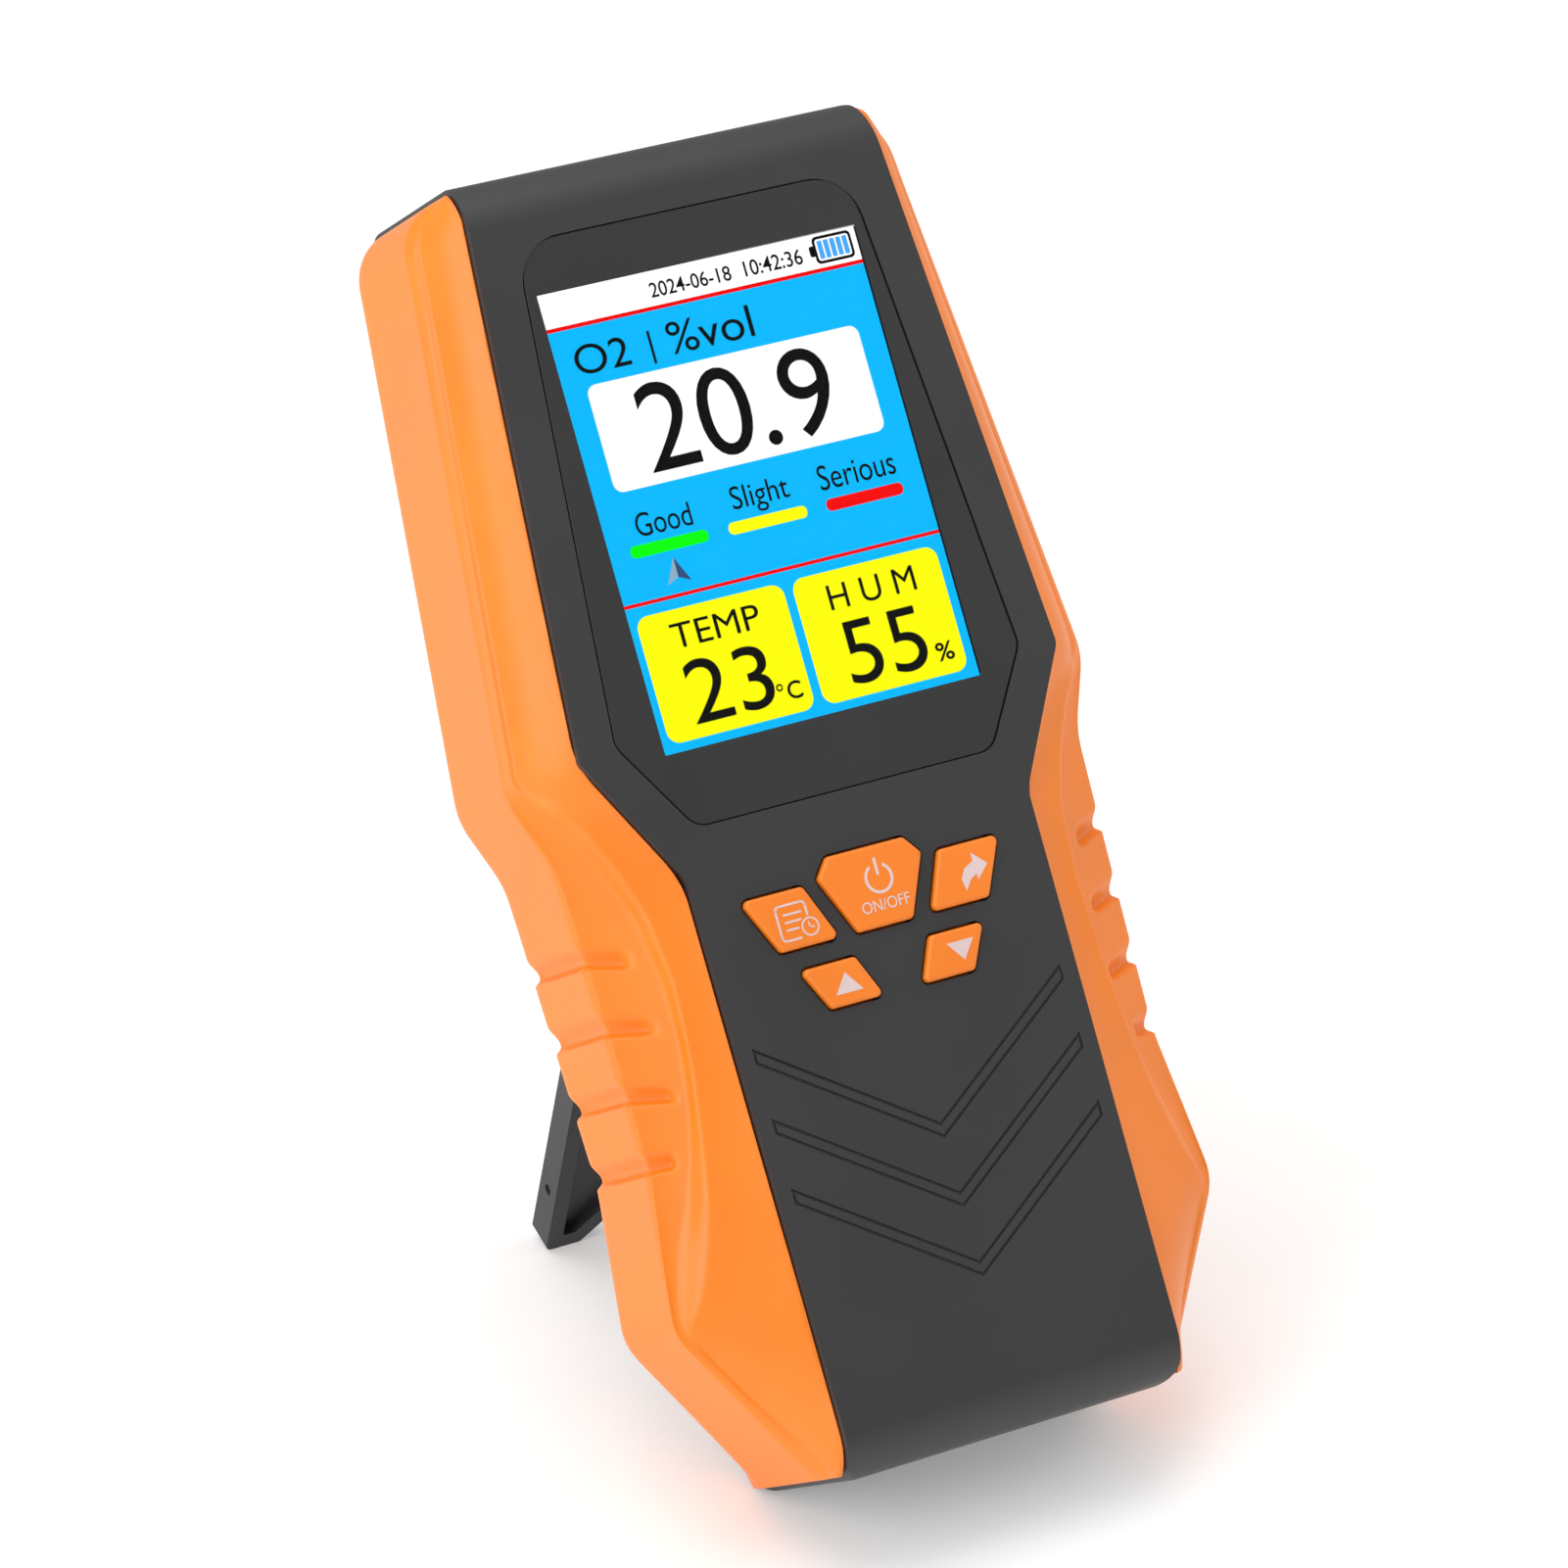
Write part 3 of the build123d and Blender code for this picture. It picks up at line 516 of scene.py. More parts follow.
def rounded_box(x0: float, x1: float, z0: float, z1: float, radius: float, steps: int = 6) -> list[Point]:
    """The outline of a rounded rectangle, anticlockwise.

    Args:
        x0: Left side.
        x1: Right side.
        z0: Lower side.
        z1: Upper side.
        radius: Corner radius.
        steps: Steps round each corner.

    Returns:
        Its corners.
    """
    corners = [(x1 - radius, z0 + radius, -90), (x1 - radius, z1 - radius, 0)]
    corners += [(x0 + radius, z1 - radius, 90), (x0 + radius, z0 + radius, 180)]
    return [
        (x + radius * cos(radians(start + 90 * step / steps)), z + radius * sin(radians(start + 90 * step / steps)))
        for x, z, start in corners
        for step in range(steps + 1)
    ]


def arc_band(x: float, z: float, radius: float, width: float, start: float, sweep: float) -> list[Point]:
    """The outline of a curved band.

    Args:
        x: Its centre.
        z: Its centre.
        radius: Radius of its middle line.
        width: Its width.
        start: Where it starts, in degrees.
        sweep: How far it runs, in degrees.

    Returns:
        Its corners.
    """
    turns = [radians(start + sweep * step / 28) for step in range(29)]
    outer = [(x + (radius + width / 2) * cos(t), z + (radius + width / 2) * sin(t)) for t in turns]
    inner = [(x + (radius - width / 2) * cos(t), z + (radius - width / 2) * sin(t)) for t in reversed(turns)]
    return outer + inner


def stroke(start: Point, end: Point, width: float) -> list[Point]:
    """The outline of a straight stroke between two points."""
    along = (Vector(end) - Vector(start)).normalized() * (width / 2)
    across = Vector((-along.y, along.x))
    corners = (Vector(start) - along - across, Vector(end) + along - across)
    corners += (Vector(end) + along + across, Vector(start) - along + across)
    return [(corner.x, corner.y) for corner in corners]


def smooth(value: float) -> float:
    """An eased step from 0 to 1."""
    held = min(max(value, 0.0), 1.0)
    return held * held * (3 - 2 * held)


def along(table: list[Point], z: float) -> float:
    """The value of a falling table at a height.

    Args:
        table: Pairs of height and value, from the top down.
        z: The height.

    Returns:
        The value in between.
    """
    if z >= table[0][0]:
        return table[0][1]
    for (z0, v0), (z1, v1) in zip(table, table[1:]):
        if z >= z1:
            return v0 + (v1 - v0) * (z0 - z) / (z0 - z1)
    return table[-1][1]


def eased(table: list[Point], z: float, reach: float) -> float:
    """A table's value at a height, with its corners rounded over a reach."""
    return sum(along(table, z + reach * step / 4) for step in range(-4, 5)) / 9


# ---- Grips ------------------------------------------------------------------------------


@dataclass(frozen=True)
class Notch:
    """One finger notch: its upper and lower edge at the ridge and at its inner end."""

    top: float
    low: float
    inner_top: float
    inner_low: float
    inner_x: float

    def depth(self, z: float, run: float) -> float:
        """How deep the notch is, from 0 to 1.

        Args:
            z: The height.
            run: How far in from the ridge, 0 at the ridge and 1 at the inner end.

        Returns:
            The share of the full depth.
        """
        top = self.top + (self.inner_top - self.top) * run
        low = self.low + (self.inner_low - self.low) * run
        fall = (top - z) / (top - low)
        slope = smooth(fall / 0.7) * (1 - smooth((fall - 0.86) / 0.14))
        return slope * (1 - smooth((run - 0.92) / 0.12))


@dataclass
class Grip(Assembly):
    """An orange side grip with its crowned bevel, raised rim and finger notches."""

    side: Side = Side.LEFT
    case_depth: float = 37.0
    case_top: float = 49.8
    case_bottom: float = -132.8
    roll: float = 7.5
    heel: Point = (4.0, 4.8)
    shoulder: tuple[float, float, float] = (29.7, 41.0, 8.0)
    face_step: float = 0.8
    bevel_depth: float = 8.2
    seam: float = 0.25
    wall: float = 1.1
    closing: float = 0.1
    notch_depth: float = 1.25
    ridge: list[Point] = field(
        default_factory=lambda: [(41.0, 37.7), (-32.5, 44.9), (-42.5, 41.0), (-85.5, 39.7), (-107.5, 42.2), (-132.0, 27.6)]
    )
    spine: list[Point] = field(
        default_factory=lambda: [(49.8, 31.0), (-30.5, 36.9), (-49.0, 26.5), (-85.5, 26.3), (-107.5, 26.1), (-132.8, 26.0)]
    )
    rim: list[Point] = field(
        default_factory=lambda: [
            (-30.0, 43.1), (-32.0, 42.4), (-34.1, 41.1), (-36.3, 39.0), (-38.5, 36.9), (-44.5, 34.0),
            (-52.2, 31.6), (-62.2, 30.6), (-73.6, 31.2), (-82.9, 32.3), (-92.1, 33.7), (-98.0, 35.3),
            (-103.7, 37.6), (-108.3, 40.6), (-112.0, 38.0),
        ]
    )
    foot: list[Point] = field(
        default_factory=lambda: [
            (-30.0, 43.9), (-34.0, 42.9), (-38.0, 40.0), (-41.0, 38.2), (-45.0, 36.2), (-51.5, 33.7),
            (-60.3, 32.4), (-69.4, 32.2), (-78.1, 33.1), (-85.3, 34.5), (-91.7, 36.7), (-96.7, 39.0),
            (-102.0, 40.4), (-108.3, 41.5), (-112.0, 38.8),
        ]
    )
    rim_height: list[Point] = field(
        default_factory=lambda: [(-31.0, 0.0), (-35.0, 0.8), (-41.0, 1.25), (-92.0, 1.25), (-103.0, 0.8), (-111.0, 0.0)]
    )
    notches: tuple[Notch, ...] = (
        Notch(-53.1, -56.9, -55.2, -58.6, 35.4),
        Notch(-62.6, -66.6, -65.0, -67.9, 34.8),
        Notch(-72.3, -76.1, -74.6, -77.4, 34.5),
        Notch(-82.2, -85.9, -83.2, -86.0, 36.4),
    )

    def heights(self) -> list[float]:
        """The heights of the grip's rows, from the bottom up."""
        rows: list[float] = [-131.6, -131.2]
        for low, high, step in ((-130.0, -114.0, 2.0), (-113.0, -88.0, 1.0), (-87.4, -50.5, 0.36), (-50.0, -26.0, 0.8)):
            count = round((high - low) / step)
            rows += [low + (high - low) * index / count for index in range(count + 1)]
        rows += [-24.0 + 3.2 * index for index in range(20)] + [39.0, 40.4]
        x, z, radius = self.shoulder
        last = acos((self.spine[0][1] + self.seam + 0.6 - x) / radius)
        return rows + [z + radius * sin(0.1 + (last - 0.1) * index / 14) for index in range(15)]

    def ridge_x(self, z: float) -> float:
        """Where the outer ridge stands at a height."""
        middle_x, middle_z, radius = self.shoulder
        if z > middle_z:
            return middle_x + sqrt(radius**2 - (z - middle_z) ** 2)
        return eased(self.ridge, z, 2.2)

    def notch_at(self, z: float, x: float, ridge: float) -> float:
        """How deep the notches cut at a place on the bevel, or on the side at the ridge."""
        return max(notch.depth(z, max(0.0, (ridge - x) / (ridge - notch.inner_x))) for notch in self.notches)

    def limits(self, z: float) -> Point:
        """How far forward and back the grip may reach where the case's ends are rounded off.

        Args:
            z: The height.

        Returns:
            The least and the greatest depth.
        """
        end = min(z - self.case_bottom, self.case_top - z)
        short = max(self.roll - end, 0.0)
        front = self.roll - sqrt(self.roll**2 - short**2) + self.face_step
        run, rise = self.heel
        back = self.case_depth - run * max(0.0, 1 - end / rise) - self.face_step
        return front, back

    def section(self, z: float) -> list[Point]:
        """The grip's outer line at a height, from its front edge round to its rear edge.

        Args:
            z: The height.

        Returns:
            Pairs of X and depth.
        """
        ridge = self.ridge_x(z)
        spine = eased(self.spine, z, 3.0)
        edge = spine + self.seam
        broad = max(ridge - edge, 0.05)
        lower = smooth((-31.0 - z) / 5.0) * smooth((z + 112.0) / 8.0)
        rim = min(eased(self.rim, z, 1.2), ridge - 0.12 * broad) if -112.0 < z < -30.0 else ridge - min(1.5, 0.4 * broad)
        foot = min(eased(self.foot, z, 1.2), ridge - 0.06 * broad) if -112.0 < z < -30.0 else ridge - min(0.8, 0.2 * broad)
        foot = max(foot, rim + 0.04 * broad)
        height = along(self.rim_height, z)
        crown = min(1.0, broad / 6.0)
        line: list[tuple[float, float]] = []
        for step in range(10):
            s = step / 10
            plain = crown * (0.5 * sin(3.1416 * s) - 0.25 * s**4)
            line.append((edge + (rim - edge) * s, (1 - lower) * plain + lower * height * s**1.7))
        for step in range(5):
            t = step / 5
            start = (1 - lower) * -0.25 * crown + lower * height
            end = (1 - lower) * 0.05 * crown + lower * -0.4
            line.append((rim + (foot - rim) * t, start + (end - start) * smooth(t)))
        for step in range(13):
            q = step / 12
            start = (1 - lower) * 0.05 * crown + lower * -0.4
            line.append((foot + (ridge - foot) * q, start * (1 - q**3)))
        run = ridge - spine
        length = sqrt(run * run + self.bevel_depth**2)
        out = (self.bevel_depth / length, -run / length)
        start_y = self.face_step + min(self.bevel_depth * self.seam / run, 0.4)
        front, back = self.face_step + self.bevel_depth, self.case_depth - self.face_step - self.bevel_depth
        points: list[Point] = []
        for x, raised in line:
            raised -= self.notch_depth * self.notch_at(z, x, ridge)
            y = start_y + (front - start_y) * (x - edge) / broad
            points.append((x + out[0] * raised, y + out[1] * raised))
        cut = self.notch_depth * self.notch_at(z, ridge, ridge)
        for step in range(1, 11):
            points.append((ridge - cut, front + (back - front) * step / 11))
        for step in range(11):
            s = step / 10
            x = ridge + (edge - ridge) * s
            swell = 0.35 * crown * sin(3.1416 * s) - cut * (1 - smooth(s / 0.3))
            y = back + (front - start_y) * (ridge - x) / broad
            points.append((x + out[0] * swell, y - out[1] * swell))
        nearest, farthest = self.limits(z)
        return [(x, min(max(y, nearest), farthest)) for x, y in points]

    def build(self) -> None:
        """Model the grip as one curved sheet and give it its wall."""
        heights = self.heights()
        rows = [self.section(z) for z in heights]
        edge = self.spine[-1][1] + self.seam
        rows.insert(0, [(edge, y) for _, y in rows[0]])
        heights.insert(0, heights[0] - self.closing)
        columns = len(rows[0])
        deselect()
        bpy.ops.mesh.primitive_grid_add(x_subdivisions=columns - 1, y_subdivisions=len(rows) - 1, size=100.0)
        made = bpy.context.object
        sign = self.side.value
        for index, vertex in enumerate(made.data.vertices):
            x, y = rows[index // columns][index % columns]
            vertex.co = (sign * x, y, heights[index // columns])
        if self.side is Side.LEFT:
            take(made)
            bpy.ops.object.mode_set(mode="EDIT")
            bpy.ops.mesh.select_all(action="SELECT")
            bpy.ops.mesh.flip_normals()
            bpy.ops.object.mode_set(mode="OBJECT")
        bake(made, "SUBSURF", levels=1, render_levels=1)
        bake(made, "SOLIDIFY", thickness=self.wall, offset=-1.0)
        bake(made, "BEVEL", width=0.25, segments=2, limit_method="ANGLE", angle_limit=radians(60))
        self.into_frame(made, 50.0)
        name = "left_grip" if self.side is Side.LEFT else "right_grip"
        self.settle(made, f"{name}_shell", "orange_grip", GRIP_ORANGE, name)


# ---- Case shells, window and display ----------------------------------------------------------


@dataclass
class Shells(Assembly):
    """The two halves of the black case."""

    rim: float = 0.3

    def build(self) -> None:
        """Soften the shells' edges."""
        front = self.refined("front_shell", "front_shell_soft", self.rim)
        self.settle(front, "front_shell_soft", "black_plastic", CASE_BLACK, "front_shell")
        rear = self.refined("rear_shell", "rear_shell_soft", self.rim)
        self.settle(rear, "rear_shell_soft", "black_plastic", CASE_BLACK, "rear_shell")


@dataclass
class Window(Assembly):
    """The dark window with its clear pane."""

    sink: float = 0.1
    thickness: float = 1.4
    view: Point = (24.45, 32.25)
    outline: tuple[tuple[float, float, float], ...] = ((25.4, 39.6, 7.0), (31.2, -29.4, 3.5), (22.9, -42.5, 3.5))
    gap: float = 0.1

    def edge(self) -> list[Point]:
        """The window's outline, anticlockwise, with rounded corners."""
        right = [(x - self.gap, z, r) for x, z, r in self.outline]
        ring = list(reversed(right)) + [(-x, z, r) for x, z, r in right]
        points: list[Point] = []
        for index, (x, z, radius) in enumerate(ring):
            here = Vector((x, z))
            before = (Vector(ring[index - 1][:2]) - here).normalized()
            after = (Vector(ring[(index + 1) % len(ring)][:2]) - here).normalized()
            half = before.angle(after) / 2
            reach = radius / (sin(half) / cos(half))
            start, end = here + before * reach, here + after * reach
            for step in range(9):
                t = step / 8
                spot = start * (1 - t) ** 2 + here * 2 * t * (1 - t) + end * t * t
                points.append((spot.x, spot.y))
        return points

    def build(self) -> None:
        """Make the window's dark border and its pane."""
        border = self.plate(self.edge(), self.sink, self.thickness, 0.12)
        wide, tall = self.view
        opening = self.plate(rounded_box(-wide, wide, -tall, tall, 0.2, 2), -1.0, 4.0)
        bake(border, "BOOLEAN", operation="DIFFERENCE", object=opening, solver="EXACT")
        bpy.data.objects.remove(opening)
        take(border)
        bpy.ops.object.shade_smooth_by_angle(angle=radians(35))
        bake(border, "WEIGHTED_NORMAL", keep_sharp=True, weight=90)
        self.settle(border, "window_border", "lens", WINDOW_BLACK, "window_lens")
        pane = self.plate(rounded_box(-wide, wide, -tall, tall, 0.2, 2), self.sink, 0.4)
        self.settle(pane, "window_pane", "lens", ClearSheet())


class Ink(Enum):
    """The display's colours."""

    SKY = Glow("screen_sky", (0.0, 0.48, 1.0))
    WHITE = Glow("screen_white", (1.0, 1.0, 1.0))
    YELLOW = Glow("screen_yellow", (1.0, 1.0, 0.0))
    GREEN = Glow("screen_green", (0.0, 1.0, 0.0))
    RED = Glow("screen_red", (0.9, 0.0, 0.0))
    BLACK = Glow("screen_black", (0.001, 0.001, 0.001))
    MARK_PALE = Glow("screen_mark_pale", (0.26, 0.42, 0.56))
    MARK_DEEP = Glow("screen_mark_deep", (0.03, 0.08, 0.19))
    CHARGE = Glow("screen_charge", (0.06, 0.4, 0.95))


@dataclass(frozen=True)
class Label:
    """A line of generic text and the box that it fills."""

    text: str
    left: float
    right: float
    low: float
    high: float
    name: str
    weight: float = 0.0


@dataclass
class Screen(Assembly):
    """The lit picture on the display, as thin layers behind the pane."""

    depth: float = 0.62
    layer: float = 0.02
    half: Point = (24.4, 32.2)
    labels: tuple[Label, ...] = (
        Label("2024-06-18", -7.9, 4.5, 28.5, 30.6, "date", 0.008),
        Label("10:42:36", 6.6, 15.6, 28.5, 30.7, "clock_time", 0.008),
        Label("O2", -21.5, -13.3, 20.3, 24.4, "gas_name"),
        Label("%vol", -7.3, 5.6, 20.3, 24.8, "gas_unit"),
        Label("20.9", -14.7, 14.5, 5.1, 17.4, "gas_reading"),
        Label("Good", -19.4, -11.0, -2.8, 0.5, "label_good"),
        Label("Slight", -4.7, 4.1, -3.2, 1.0, "label_slight"),
        Label("Serious", 8.8, 20.6, -2.5, 1.0, "label_serious"),
        Label("TEMP", -18.7, -5.3, -18.6, -15.2, "label_temp"),
        Label("23", -18.6, -6.0, -29.3, -20.5, "temp_reading"),
        Label("C", -4.3, -2.1, -29.1, -26.6, "temp_unit", 0.015),
        Label("H U M", 5.4, 18.8, -18.7, -15.2, "label_humidity"),
        Label("55", 5.6, 17.8, -29.4, -20.6, "humidity_reading"),
        Label("%", 18.9, 21.6, -29.1, -26.5, "humidity_unit", 0.015),
    )

    def sheet(self, name: str, outline: list[Point], ink: Ink, level: int) -> None:
        """Lay one coloured shape on the display.

        Args:
            name: The shape's name.
            outline: Its corners, anticlockwise.
            ink: Its colour.
            level: How many layers it lies in front of the background.
        """
        made = self.plate(outline, self.depth - level * self.layer, self.layer * 0.6)
        self.settle(made, f"screen_{name}", "display", ink.value)

    def write(self, label: Label) -> None:
        """Write one label."""
        made = self.text(label, self.depth - 3 * self.layer, self.layer * 0.6)
        self.settle(made, f"screen_{label.name}", "display", Ink.BLACK.value)

    def text(self, label: Label, front: float, thickness: float) -> bpy.types.Object:
        """A line of text as a thin mesh that fills its box.

        Args:
            label: The text and its box.
            front: Depth of its face.
            thickness: Its thickness.

        Returns:
            The text's mesh.
        """
        deselect()
        bpy.ops.object.text_add()
        made = bpy.context.object
        made.data.body = label.text
        made.data.extrude = thickness / 2
        made.data.offset = label.weight
        made.data.resolution_u = 6
        take(made)
        bpy.ops.object.convert(target="MESH")
        made = bpy.context.object
        xs = [vertex.co.x for vertex in made.data.vertices]
        ys = [vertex.co.y for vertex in made.data.vertices]
        wide = (label.right - label.left) / (max(xs) - min(xs))
        tall = (label.high - label.low) / (max(ys) - min(ys))
        shift = Matrix.Translation((-min(xs), -min(ys), 0))
        grow = Matrix.Diagonal((wide, tall, 1.0, 1.0))
        place = Matrix.Translation((label.left, label.low, 0))
        made.data.transform(Matrix.Translation((0, front, 0)) @ FACE_ON @ place @ grow @ shift)
        self.into_frame(made)
        return made

    def build(self) -> None:
        """Lay out the whole picture."""
        wide, tall = self.half
        self.sheet("background", rounded_box(-wide, wide, -tall, tall, 0.05, 1), Ink.SKY, 0)
        self.sheet("status_bar", rounded_box(-wide, wide, 27.25, tall, 0.05, 1), Ink.WHITE, 1)
        self.sheet("upper_line", rounded_box(-wide, wide, 26.85, 27.4, 0.05, 1), Ink.RED, 2)
        self.sheet("lower_line", rounded_box(-wide, wide, -11.85, -11.35, 0.05, 1), Ink.RED, 1)
        self.sheet("reading_box", rounded_box(-20.9, 20.8, 3.7, 18.8, 1.4), Ink.WHITE, 1)
        self.sheet("divider", rounded_box(-10.1, -9.7, 19.7, 24.3, 0.05, 1), Ink.BLACK, 2)
        for name, x0, x1, ink in (("good", -21.2, -9.3, Ink.GREEN), ("slight", -6.2, 5.9, Ink.YELLOW), ("serious", 8.9, 20.9, Ink.RED)):
            self.sheet(f"bar_{name}", rounded_box(x0, x1, -5.45, -3.75, 0.8), ink, 1)
        for name, x0, x1 in (("temp", -23.2, -0.8), ("humidity", 0.6, 23.1)):
            self.sheet(f"box_{name}", rounded_box(x0, x1, -31.0, -13.3, 1.8), Ink.YELLOW, 1)
        self.sheet("marker_left", [(-17.1, -10.0), (-15.3, -9.2), (-15.3, -6.4)], Ink.MARK_PALE, 1)
        self.sheet("marker_right", [(-15.3, -9.2), (-13.5, -10.0), (-15.3, -6.4)], Ink.MARK_DEEP, 1)
        self.sheet("degree_ring", arc_band(-5.3, -27.1, 0.4, 0.25, 0, 350), Ink.BLACK, 2)
        self.sheet("battery_body", rounded_box(17.6, 23.6, 27.95, 31.8, 0.7), Ink.BLACK, 2)
        self.sheet("battery_tip", rounded_box(16.9, 17.9, 29.1, 30.6, 0.3), Ink.BLACK, 2)
        self.sheet("battery_glass", rounded_box(18.0, 23.2, 28.35, 31.4, 0.4), Ink.WHITE, 3)
        for index in range(5):
            left = 18.3 + index * 0.97
            self.sheet(f"battery_charge_{index}", rounded_box(left, left + 0.72, 28.6, 31.15, 0.1, 2), Ink.CHARGE, 4)
        for label in self.labels:
            self.write(label)


# ---- Keys ---------------------------------------------------------------------------------


@dataclass
class Keys(Screen):
    """The five keys and the signs printed on them."""

    face: float = -0.93
    print_thickness: float = 0.05
    rim: float = 0.35

    def sign(self, name: str, outline: list[Point]) -> None:
        """Print one shape on the present key."""
        made = self.plate(outline, self.face, self.print_thickness)
        self.settle(made, f"sign_{name}", "white_plastic", KEY_PRINT)

    def cap(self, key: str) -> None:
        """Soften one key cap and go on with its signs."""
        self.body = f"key_{key}"
        made = self.refined(f"key_{key}", f"cap_{key}", self.rim, 25.0)
        self.settle(made, f"cap_{key}", "orange_key", KEY_ORANGE, f"key_{key}")

    def build(self) -> None:
        """Make all five keys."""
        self.cap("power")
        self.sign("power_ring", arc_band(0.65, -55.5, 1.95, 0.42, 120, 300))
        self.sign("power_bar", stroke((0.65, -54.9), (0.65, -52.9), 0.42))
        words = self.text(Label("ON/OFF", -3.0, 4.3, -59.9, -58.3, "on_off"), self.face, self.print_thickness)
        self.settle(words, "sign_on_off", "white_plastic", KEY_PRINT)
        self.cap("log")
        self.sign("log_left", stroke((-15.6, -56.4), (-15.6, -60.0), 0.32))
        self.sign("log_top", stroke((-14.9, -55.8), (-11.8, -55.8), 0.32))
        self.sign("log_low", stroke((-14.9, -60.6), (-12.9, -60.6), 0.32))
        self.sign("log_right", stroke((-11.1, -56.5), (-11.1, -57.7), 0.32))
        self.sign("log_corner_0", arc_band(-14.95, -56.45, 0.65, 0.32, 90, 90))
        self.sign("log_corner_1", arc_band(-11.75, -56.45, 0.65, 0.32, 0, 90))
        self.sign("log_corner_2", arc_band(-14.95, -59.95, 0.65, 0.32, 180, 90))
        for index, right in enumerate((-12.0, -12.3, -12.9)):
            z = -57.1 - 1.05 * index
            self.sign(f"log_line_{index}", stroke((-14.5, z), (right, z), 0.3))
        self.sign("clock_ring", arc_band(-11.1, -59.4, 1.2, 0.25, 0, 359))
        self.sign("clock_hand_0", stroke((-11.2, -59.5), (-11.2, -58.8), 0.22))
        self.sign("clock_hand_1", stroke((-11.2, -59.5), (-10.6, -59.5), 0.22))
        self.cap("forward")
        shaft = [(12.9, -60.4), (13.9, -59.0), (15.0, -58.4), (15.0, -59.3), (17.0, -57.4), (14.9, -55.4)]
        self.sign("forward_arrow", shaft + [(14.9, -56.6), (13.4, -57.3), (12.6, -58.6)])
        self.cap("up")
        self.sign("up_arrow", [(-10.2, -69.4), (-6.0, -69.4), (-8.1, -66.6)])
        self.cap("down")
        self.sign("down_arrow", [(7.7, -66.6), (9.8, -69.3), (11.9, -66.6)])


@dataclass
class Stand(Assembly):
    """The fold-out stand."""

    body: str = "kickstand"
    rim: float = 0.45

    def build(self) -> None:
        """Soften the stand's edges."""
        made = self.refined("kickstand", "stand_soft", self.rim)
        self.settle(made, "stand_soft", "black_plastic", STAND_BLACK, "kickstand")


@dataclass
class Insides(Assembly):
    """The nodes that keep their own shape and get a better finish."""

    finishes: dict[str, Finish] = field(
        default_factory=lambda: {
            "case_seal": SEAL_RUBBER, "display_gasket": FOAM_BLACK, "display_panel": MODULE_FRONT,
            "display_frame": FRAME_WHITE, "key_mat": MAT_GREY, "tact_switches": SWITCH_BLACK,
            "main_board": BOARD_GREEN, "buzzer": SWITCH_BLACK, "battery_cell": CELL_WRAP,
            "battery_tray": FRAME_WHITE, "gas_sensor": SENSOR_WHITE, "sensor_holder": FRAME_WHITE,
            "sensor_board": BOARD_GREEN, "sensor_gasket": SEAL_RUBBER, "sensor_filter": MEMBRANE,
            "sensor_grille": CASE_BLACK, "climate_sensor": BOARD_GREEN, "charge_port": STEEL,
            "charge_board": BOARD_GREEN, "case_screws": STEEL, "threaded_inserts": BRASS,
            "board_screws": STEEL, "stand_pin": STEEL, "front_shell": CASE_BLACK, "rear_shell": CASE_BLACK,
            "left_grip": GRIP_ORANGE, "right_grip": GRIP_ORANGE, "window_lens": WINDOW_BLACK,
            "key_power": KEY_ORANGE, "key_log": KEY_ORANGE, "key_forward": KEY_ORANGE,
            "key_up": KEY_ORANGE, "key_down": KEY_ORANGE, "kickstand": STAND_BLACK,
        }
    )

    def dress(self) -> None:
        """Put each node's finish on it."""
        for name, finish in self.finishes.items():
            mesh = frame["nodes"][name].data
            mesh.materials.clear()
            mesh.materials.append(finish.material())
            log.info("dressed %s in %s", name, finish.name)


# ---- Studio ------------------------------------------------------------------------------


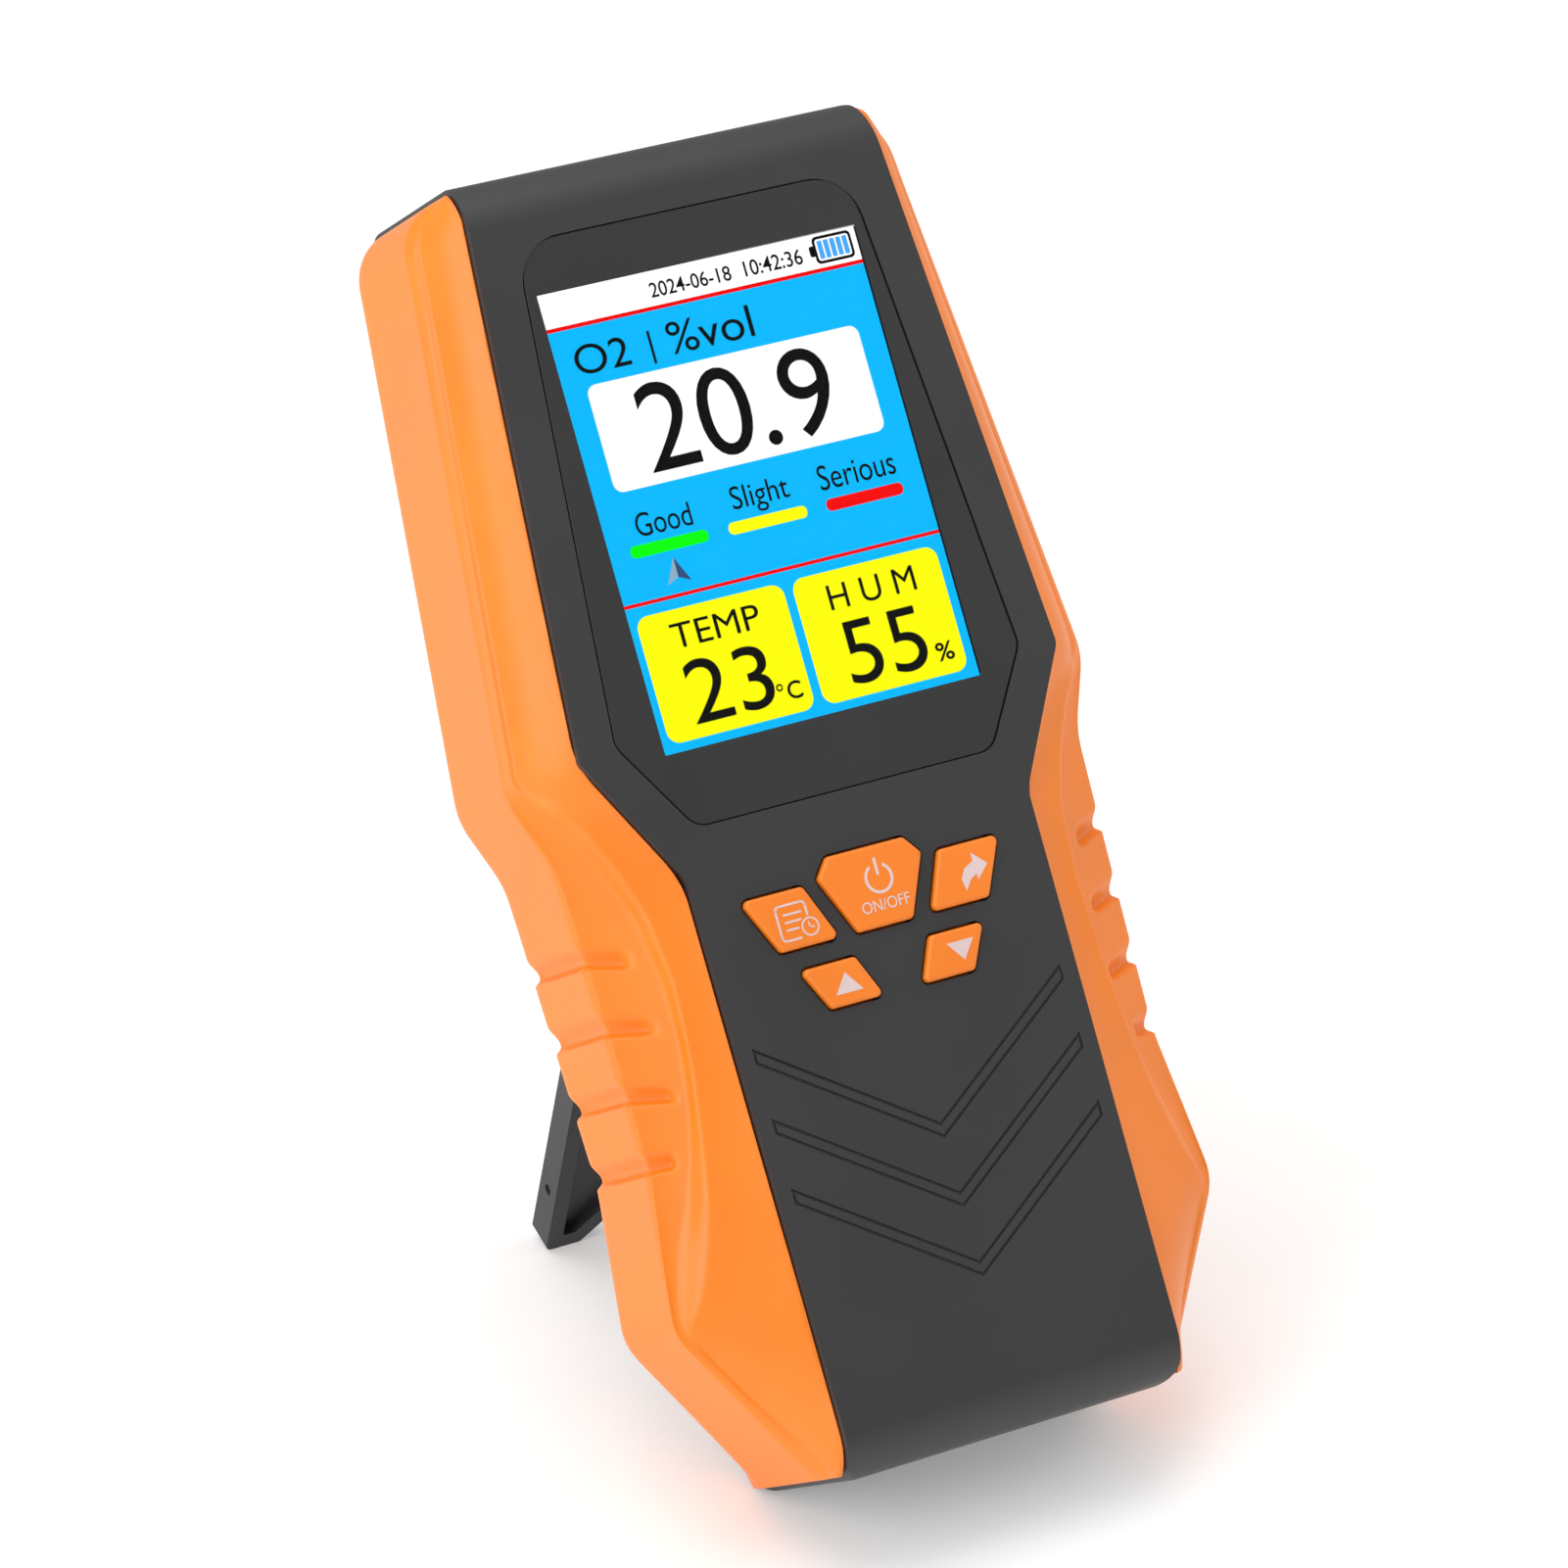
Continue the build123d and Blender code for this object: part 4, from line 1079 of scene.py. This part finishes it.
@dataclass
class Studio:
    """Pale floor, soft lights and the camera."""

    camera_place: Colour = (-0.39475, -0.72798, 0.54296)
    camera_view: Colour = (0.41650, 0.77010, -0.48319)
    lens: float = 157.4
    floor_glow: float = 0.22
    lamps: tuple[tuple[Colour, float, float], ...] = (
        ((-0.8, -0.25, 0.5), 4.5, 0.6),
        ((-0.1, 0.2, 1.0), 5.5, 0.9),
        ((0.8, -0.2, 0.45), 1.8, 0.8),
    )

    def lay_floor(self) -> None:
        """Lay a pale floor with a faint mottle."""
        deselect()
        bpy.ops.mesh.primitive_grid_add(x_subdivisions=8, y_subdivisions=8, size=8.0)
        floor = bpy.context.object
        floor.name = "studio_floor"
        paper = Finish("floor_paper", (0.86, 0.86, 0.86), 0.8, 0.01, 0.002).material()
        shader = next(node for node in paper.node_tree.nodes if node.type == "BSDF_PRINCIPLED")
        shader.inputs["Emission Strength"].default_value = self.floor_glow
        floor.data.materials.append(paper)

    def hang_lamps(self) -> None:
        """Hang soft square lamps that face the object."""
        target = Vector((0.0, 0.0, 0.08))
        for index, (place, power, size) in enumerate(self.lamps):
            lamp = bpy.data.lights.new(f"lamp_{index}", "AREA")
            lamp.energy, lamp.size = power, size
            hung = bpy.data.objects.new(f"lamp_{index}", lamp)
            hung.location = place
            hung.rotation_euler = (target - Vector(place)).to_track_quat("-Z", "Y").to_euler()
            bpy.context.scene.collection.objects.link(hung)
        world = bpy.data.worlds.new("soft_room")
        world.use_nodes = True
        world.node_tree.nodes["Background"].inputs["Color"].default_value = (1.0, 1.0, 1.0, 1.0)
        world.node_tree.nodes["Background"].inputs["Strength"].default_value = 0.5
        bpy.context.scene.world = world
        bpy.context.scene.view_settings.view_transform = "Standard"

    def set_camera(self) -> None:
        """Set the camera up."""
        data = bpy.data.cameras.new("camera")
        data.lens, data.sensor_width = self.lens, 36.0
        data.clip_start, data.clip_end = 0.01, 20.0
        camera = bpy.data.objects.new("camera", data)
        camera.location = self.camera_place
        camera.rotation_euler = Vector(self.camera_view).to_track_quat("-Z", "Y").to_euler()
        bpy.context.scene.collection.objects.link(camera)
        bpy.context.scene.camera = camera

    def build(self) -> None:
        """Make the whole studio."""
        self.lay_floor()
        self.hang_lamps()
        self.set_camera()


def main() -> None:
    """Build everything in order."""
    axes = CaseAxes.of_model()
    Studio().build()
    Insides(axes).dress()
    Shells(axes).build()
    for side in Side:
        Grip(axes, side=side).build()
    Window(axes).build()
    Screen(axes).build()
    Keys(axes).build()
    Stand(axes).build()


if __name__ == "__main__":
    main()
